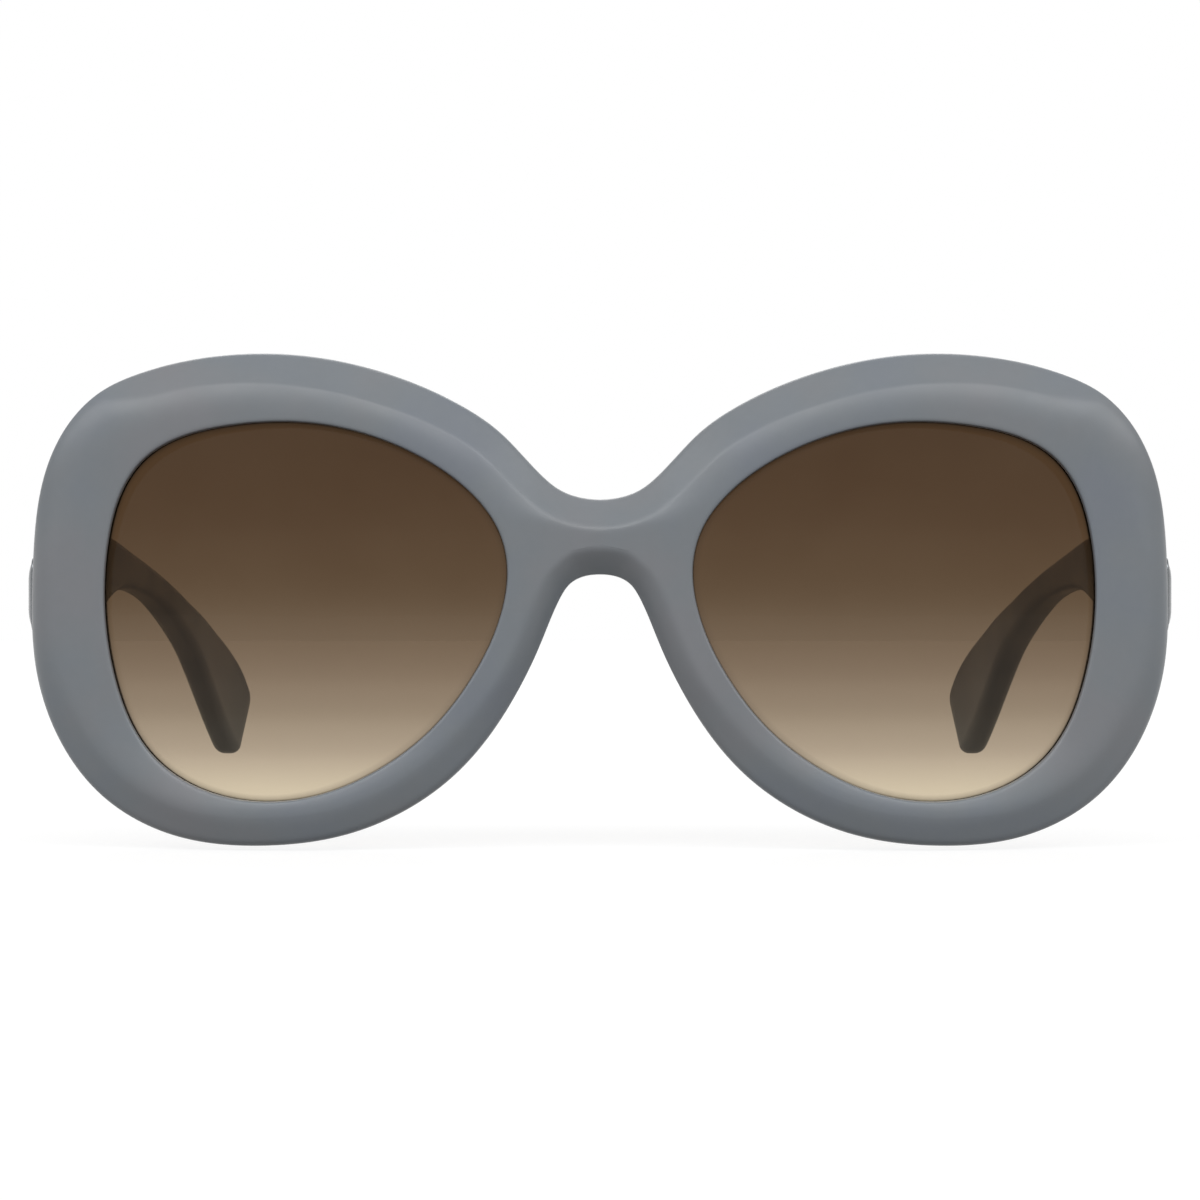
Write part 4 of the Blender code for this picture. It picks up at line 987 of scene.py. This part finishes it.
def front_leaf():
    plate = front_leaf_box()
    plate.name = "front_leaf_left_piece"
    middle_y = ENDPIECE_DEPTH - LEAF_THICKNESS / 2
    parts = [part for index in (0, 2, 4) for part in knuckle(index, 0, middle_y - HINGE_Y)]
    for z in (TEMPLE_RISE - ANCHOR_SPREAD, TEMPLE_RISE + ANCHOR_SPREAD):
        start = placed(FRONT_LEAF_OUTER - FRONT_LEAF_WIDTH / 2, middle_y, z)
        end = start - (0, LEAF_THICKNESS / 2 + ANCHOR_LENGTH, 0)
        parts.append(round_bar("anchor", start, end, ANCHOR_RADIUS, sides=24))
    return bored(combine(plate, "UNION", parts))


def temple_leaf():
    plate = temple_leaf_box()
    plate.name = "temple_leaf_left_piece"
    reach = TEMPLE_INNER + LEAF_THICKNESS / 2 - HINGE_X
    combine(plate, "UNION", [part for index in (1, 3) for part in knuckle(index, reach, 0)])
    ends, radius = (TEMPLE_INNER - MM, TEMPLE_OUTER), RIVET_RADIUS + CLEARANCE
    holes = [bar_across(*ends, y, radius) for y in RIVET_PLACES.values()]
    return bored(combine(plate, "DIFFERENCE", holes))


front_leaves, temple_leaves = pair(front_leaf()), pair(temple_leaf())
print("leaf faces", faces(front_leaves[0]), faces(temple_leaves[0]))

# %% [markdown]
# ## Turned pieces
# Screws and rivets are turned on a lathe: rings along one axis, from a short list of radius and
# place. The screw's slot is cut with a thin box.

# %% Screws and rivets
SCREW_HEAD_HEIGHT, SCREW_HEAD_RADIUS, SCREW_BEVEL = mm(0.9, 1.25, 0.1)
SCREW_FLAT, SCREW_TOP, SLOT_HALF, SLOT_DEPTH = 0.35, 0.25, 0.17 * MM, 0.4 * MM
SCREW_DOME_SHARES, RIVET_DOME_SHARES = (0.35, 0.6, 0.8, 0.93), (0.2, 0.45, 0.65, 0.82, 0.94)


def round_ring(radius, away, origin, axis, sides):
    for turn in round_turns(sides):
        across = (math.cos(turn) * radius, math.sin(turn) * radius)
        yield origin + ((away, *across) if axis == "X" else (*across, away))


def turned(name, profile, origin, axis, sides=40):
    """A closed solid of round rings, each given as radius and distance along X or Z."""
    rings = [round_ring(radius, away, origin, axis, sides) for radius, away in profile]
    return smooth(loft(name, rings), degrees=35)


def screw():
    under, head, radius = BARREL_HEIGHT + KNUCKLE_GAP, SCREW_HEAD_HEIGHT, SCREW_HEAD_RADIUS
    profile = [
        (SCREW_RADIUS - SCREW_BEVEL, 0), (SCREW_RADIUS, SCREW_BEVEL), (SCREW_RADIUS, under),
        (radius - SCREW_BEVEL, under), (radius, under + SCREW_BEVEL), (radius, under + 0.5 * head),
    ]
    for share in SCREW_DOME_SHARES:
        turn = share * math.pi / 2
        out = radius * (SCREW_FLAT + (1 - SCREW_FLAT) * math.cos(turn))
        profile.append((out, under + head * (0.5 + 0.5 * math.sin(turn))))
    profile.append((radius * SCREW_TOP, under + head))
    piece = turned("screw_left_piece", profile, on_axis(BARREL_LOW), "Z")
    top = on_axis(BARREL_LOW + under + head)
    slot = box("slot", top - (2 * radius, SLOT_HALF, SLOT_DEPTH), top + (2 * radius, SLOT_HALF, MM))
    return smooth(combine(piece, "DIFFERENCE", [slot]), degrees=35)


def rivet(place):
    start = TEMPLE_INNER - CLEARANCE - RIVET_HEAD_HEIGHT
    reach = TEMPLE_OUTER - PLAQUE_SUNK - start
    head, radius = RIVET_HEAD_HEIGHT, RIVET_HEAD_RADIUS
    domed = [(share, 1 - math.sqrt(1 - share**2)) for share in RIVET_DOME_SHARES]
    profile = [(radius * share, head * back) for share, back in domed]
    profile += [(radius, head * 0.9), (radius, head), (RIVET_RADIUS, head)]
    profile += [(RIVET_RADIUS, reach - head), (radius, reach - head), (radius, reach)]
    origin = placed(start, RIVET_PLACES[place], RIVET_RISE)
    return turned(f"{place}_rivet_left_piece", profile, origin, "X", sides=32)


screws = pair(screw())
front_rivets, rear_rivets = (pair(rivet(place)) for place in RIVET_PLACES)
print("screw faces", faces(screws[0]), "rivet faces", faces(front_rivets[0]))

# %% [markdown]
# ## Grey acetate
# Acetate is dense, with a soft inner glow. Its pigment leaves broad clouds that lean to blue or to
# rose, and a fine cloudiness under the polish. Both are noise on the object's own coordinates, as
# are the roughness and the faint bump that break up the reflections.

# %% Small helpers for node trees
COLOR_A, COLOR_B, COLOR_RESULT = 6, 7, 2


def new_material(name):
    made = bpy.data.materials.new(name)
    made.use_nodes = True
    return made, made.node_tree, made.node_tree.nodes["Principled BSDF"]


def fill(tree, node, values):
    """Sets sockets of a node to constants, or links them to outputs of other nodes."""
    for socket, value in values.items():
        if isinstance(value, bpy.types.NodeSocket):
            tree.links.new(value, node.inputs[socket])
        else:
            node.inputs[socket].default_value = value
    return node


def add(tree, kind, **values):
    """A new node with its sockets filled. An underscore stands for a space in their names."""
    values = {socket.replace("_", " "): value for socket, value in values.items()}
    return fill(tree, tree.nodes.new("ShaderNode" + kind), values)


def noise(tree, scale, detail=3.0, stretch=(1, 1, 1)):
    """Noise on the object's own coordinates. The scale is in waves to the metre."""
    place = add(tree, "TexCoord").outputs["Object"]
    place = add(tree, "Mapping", Vector=place, Scale=stretch).outputs["Vector"]
    return add(tree, "TexNoise", Vector=place, Scale=scale, Detail=detail).outputs["Fac"]


def ramp(tree, fac, stops):
    made = add(tree, "ValToRGB", Fac=fac)
    elements = made.color_ramp.elements
    while len(elements) < len(stops):
        elements.new(0.5)
    for element, (place, color) in zip(elements, stops):
        element.position, element.color = place, (*color, 1)
    made.color_ramp.interpolation = "CARDINAL"
    return made.outputs["Color"]


def grade(tree, value, low, high, from_low=0.3, from_high=0.7):
    """Spreads a value over another range. Most noise lies between 0.3 and 0.7."""
    ends = {"From_Min": from_low, "From_Max": from_high, "To_Min": low, "To_Max": high}
    return add(tree, "MapRange", Value=value, **ends).outputs["Result"]


def bump(tree, height, strength, distance):
    made = add(tree, "Bump", Height=height, Strength=strength, Distance=distance)
    return made.outputs["Normal"]


def mixed(tree, fac, first, second):
    """A mix of two colours, each a constant or an output."""
    made = add(tree, "Mix", Factor=fac)
    made.data_type = "RGBA"
    first, second = ((*one, 1) if isinstance(one, tuple) else one for one in (first, second))
    return fill(tree, made, {COLOR_A: first, COLOR_B: second}).outputs[COLOR_RESULT]


# %% The acetate
CLOUD_COLORS = (
    (0.36, (0.187, 0.207, 0.236)), (0.5, (0.195, 0.213, 0.231)), (0.64, (0.208, 0.215, 0.23)),
)
PALE_GREY = (0.235, 0.25, 0.27)


def acetate():
    made, tree, shader = new_material("grey_acetate")
    clouds = ramp(tree, noise(tree, 45), CLOUD_COLORS)
    fine = grade(tree, noise(tree, 700, 4), 0.0, 0.12)
    fill(tree, shader, {
        "Base Color": mixed(tree, fine, clouds, PALE_GREY),
        "Roughness": grade(tree, noise(tree, 160), 0.31, 0.41),
        "Normal": bump(tree, noise(tree, 900, 2), 0.12, 0.02 * MM),
        "IOR": 1.48, "Specular IOR Level": 0.45, "Coat Weight": 0.05, "Coat Roughness": 0.2,
    })
    return made


grey_acetate = acetate()
print("made", grey_acetate.name)

# %% [markdown]
# ## Brown gradient lens
# The lens is dipped in dye from above, so its tint is deepest at the top and fades to a warm
# beige: a colour ramp over the height. The shader transmits light, so the temples are seen through
# it, and its index of refraction is low, because the faces are coated against reflections.

# %% The lens
TINT_COLORS = (
    (0.0, (0.7, 0.6, 0.435)), (0.13, (0.46, 0.379, 0.277)), (0.23, (0.31, 0.244, 0.173)),
    (0.33, (0.219, 0.161, 0.109)), (0.5, (0.127, 0.083, 0.048)), (0.7, (0.084, 0.048, 0.024)),
    (1.0, (0.067, 0.037, 0.018)),
)
# The rim colour is painted shade: a near-black line along the lens rim stands for the groove's
# shadow.
TINT_CLOUD, RIM_SHADE_COLOR = (0.3, 0.22, 0.14), (0.01, 0.008, 0.006)
LENS_LOW = SHIFT[2] - LENS_DROP - LENS_HEIGHT / 2 - 1.5 * MM
LENS_HIGH = LENS_LOW + LENS_HEIGHT + 4 * MM


def lens_tint():
    made, tree, shader = new_material("brown_gradient_lens")
    split = add(tree, "SeparateXYZ", Vector=add(tree, "TexCoord").outputs["Object"])
    tint = ramp(tree, grade(tree, split.outputs["Z"], 0.0, 1.0, LENS_LOW, LENS_HIGH), TINT_COLORS)
    cloud = grade(tree, noise(tree, 90, 2), 0.0, 0.03)
    # Painted shade: near the rim the tint is mixed towards near-black, for the groove's shadow.
    painted_rim_shade = add(tree, "Attribute")
    painted_rim_shade.attribute_name = "edge"
    line = grade(tree, painted_rim_shade.outputs["Fac"], 0.0, 0.75, 0.0, 1.0)
    color = mixed(tree, line, mixed(tree, cloud, tint, TINT_CLOUD), RIM_SHADE_COLOR)
    fill(tree, shader, {
        "Base Color": color, "Roughness": 0.0, "Transmission Weight": 1.0, "IOR": 1.2,
    })
    return made


brown_lens = lens_tint()
print("made", brown_lens.name)

# %% [markdown]
# ## Metals
# Hinge parts are stamped and barrelled, with short brushing along the part. The plaque is polished,
# darker and cooler, with a trace of fine lines, and the core wire is drawn, with long lines. Noise
# stretched along the brushing drives roughness and bump, and broad patches vary the colour.

# %% The metals
# Dark and light colour, range of roughness, stretch and scale of the lines, and their depth.
METALS = {
    "hinge_steel": (
        (0.44, 0.44, 0.45), (0.56, 0.56, 0.57), (0.26, 0.42), (1, 1, 0.12), 3000, 0.004 * MM,
    ),
    "core_steel": (
        (0.4, 0.4, 0.42), (0.5, 0.5, 0.52), (0.3, 0.45), (1, 0.05, 1), 2500, 0.004 * MM,
    ),
    "plaque_metal": (
        (0.14, 0.148, 0.155), (0.18, 0.187, 0.195), (0.16, 0.26), (1, 0.08, 1), 1800, 0.003 * MM,
    ),
}


def metal(name, dark, light, rough, stretch, scale, depth):
    made, tree, shader = new_material(name)
    lines = noise(tree, scale, 4, stretch)
    fill(tree, shader, {
        "Base Color": mixed(tree, noise(tree, 220, 2), dark, light), "Metallic": 1.0,
        "Roughness": grade(tree, lines, *rough), "Normal": bump(tree, lines, 0.2, depth),
    })
    return made


metals = {name: metal(name, *values) for name, values in METALS.items()}
print("metals", *metals)

# %% [markdown]
# ## Hand every piece to its body
# Each piece rides on the body of the CAD node that it replaces, which is hidden, and gets
# its material. The core wires are shut in and keep their CAD shape.

# %% Ride, replace and paint
LOOKS = {"acetate": grey_acetate, "lens": brown_lens, **metals}
KINDS = (
    (lenses, "lens", "front", "lens"),
    (pads, "nose_pad", "front", "acetate"),
    (front_leaves, "front_hinge_leaf", "front", "hinge_steel"),
    (screws, "hinge_screw", "front", "hinge_steel"),
    (temples, "temple", "temple", "acetate"),
    (temple_leaves, "temple_hinge_leaf", "temple", "hinge_steel"),
    (plaques, "side_plaque", "temple", "plaque_metal"),
    (front_rivets, "front_rivet", "temple", "hinge_steel"),
    (rear_rivets, "rear_rivet", "temple", "hinge_steel"),
)


def dress(piece, node, body, slot):
    piece.data.materials.clear()
    piece.data.materials.append(LOOKS[slot])
    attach(piece, body)
    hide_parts(node)


dress(front, "frame_front", "front", "acetate")
for number, side in enumerate(("left", "right")):
    for pieces, node, body, slot in KINDS:
        dress(pieces[number], f"{node}_{side}", body if body == "front" else f"{side}_temple", slot)
    for place in frame["nodes"][f"core_wire_{side}"].material_slots:
        place.material = LOOKS["core_steel"]
print("pieces", 1 + 2 * len(KINDS))

# %% [markdown]
# ## Camera
# The photograph is straight from the front, level with its middle. From 600 mm, a 144 mm lens on a
# 36 mm sensor sees 150 mm, which fills the frame as the photograph does.

# %% Camera
VIEW_DISTANCE, FOCAL_LENGTH, SENSOR_WIDTH = 600 * MM, 144, 36
spot = (0, SHIFT[1] - VIEW_DISTANCE, SHIFT[2])
bpy.ops.object.camera_add(location=spot, rotation=(math.pi / 2, 0, 0))
camera = bpy.context.object
camera.data.lens, camera.data.sensor_width = FOCAL_LENGTH, SENSOR_WIDTH
camera.data.clip_start = 0.01
bpy.context.scene.camera = camera
print("camera at", [round(value, 4) for value in camera.location])

# %% [markdown]
# ## Floor and light
# The glasses stand on a plain pale floor. For the camera, and through lenses and in the metal,
# floor and world are equally white, so no horizon shows, and the object still throws a soft shadow.
# Three soft lamps in front and above give the brow its lighter band, two light the sides and one
# the back. All are suns, which light the floor evenly.

# %% Floor
WHITE, FLOOR_TONE, FLOOR_GLOW, FLOOR_SIZE, FLOOR_DROP = (1, 1, 1, 1), 0.22, 0.81, 6, 0.5 * MM


def white_rays(tree):
    """1 for what is seen directly, in a reflection or through a lens, otherwise 0."""
    rays = add(tree, "LightPath").outputs
    seen = rays["Is Camera Ray"]
    for kind in ("Is Glossy Ray", "Is Transmission Ray"):
        either = fill(tree, add(tree, "Math"), {0: seen, 1: rays[kind]})
        either.operation = "MAXIMUM"
        seen = either.outputs[0]
    return seen


def pale(name):
    made, tree, shader = new_material(name)
    fill(tree, shader, {
        "Base Color": (FLOOR_TONE, FLOOR_TONE, FLOOR_TONE, 1), "Emission Color": WHITE,
        "Emission Strength": grade(tree, white_rays(tree), 0.0, FLOOR_GLOW, 0.0, 1.0),
        "Roughness": 0.9, "Specular IOR Level": 0.1,
    })
    return made


bpy.ops.mesh.primitive_plane_add(size=FLOOR_SIZE, location=(0, 0, -FLOOR_DROP))
floor = bpy.context.object
floor.name = "floor"
floor.data.materials.append(pale("pale_floor"))
floor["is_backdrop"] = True
print("floor", [round(value, 2) for value in floor.dimensions])

# %% World and lamps
WORLD_LIGHT = 0.29
# Name, elevation, turn from the front, spread, and power.
LAMPS = (
    ("key_middle", 36.5, 0, 26, 0.55), ("key_left", 36.5, -32, 26, 0.54),
    ("key_right", 36.5, 32, 26, 0.54), ("left_light", 30, -61, 30, 0.53),
    ("right_light", 30, 61, 30, 0.53), ("back_light", 42, 180, 40, 0.55),
)
world = bpy.data.worlds.new("studio")
bpy.context.scene.world = world
world.use_nodes = True
tree = world.node_tree
strength = grade(tree, white_rays(tree), WORLD_LIGHT, 1.0, 0.0, 1.0)
fill(tree, tree.nodes["Background"], {"Color": WHITE, "Strength": strength})


def soft_sun(name, elevation, turn, spread, power):
    bpy.ops.object.light_add(type="SUN", location=(0, 0, 1))
    lamp = bpy.context.object
    lamp.name = name
    lamp.rotation_euler = (math.radians(90 - elevation), 0, math.radians(turn))
    lamp.data.angle, lamp.data.energy = math.radians(spread), power


for lamp in LAMPS:
    soft_sun(*lamp)
bpy.context.scene.view_settings.view_transform = "Standard"

# %% Sizes and the end
boxes = {"cad": cad_box, "visual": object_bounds()}
{name: [list(map(float, corner)) for corner in box] for name, box in boxes.items()}
print("boxes", {name: rounded(box) for name, box in boxes.items()})
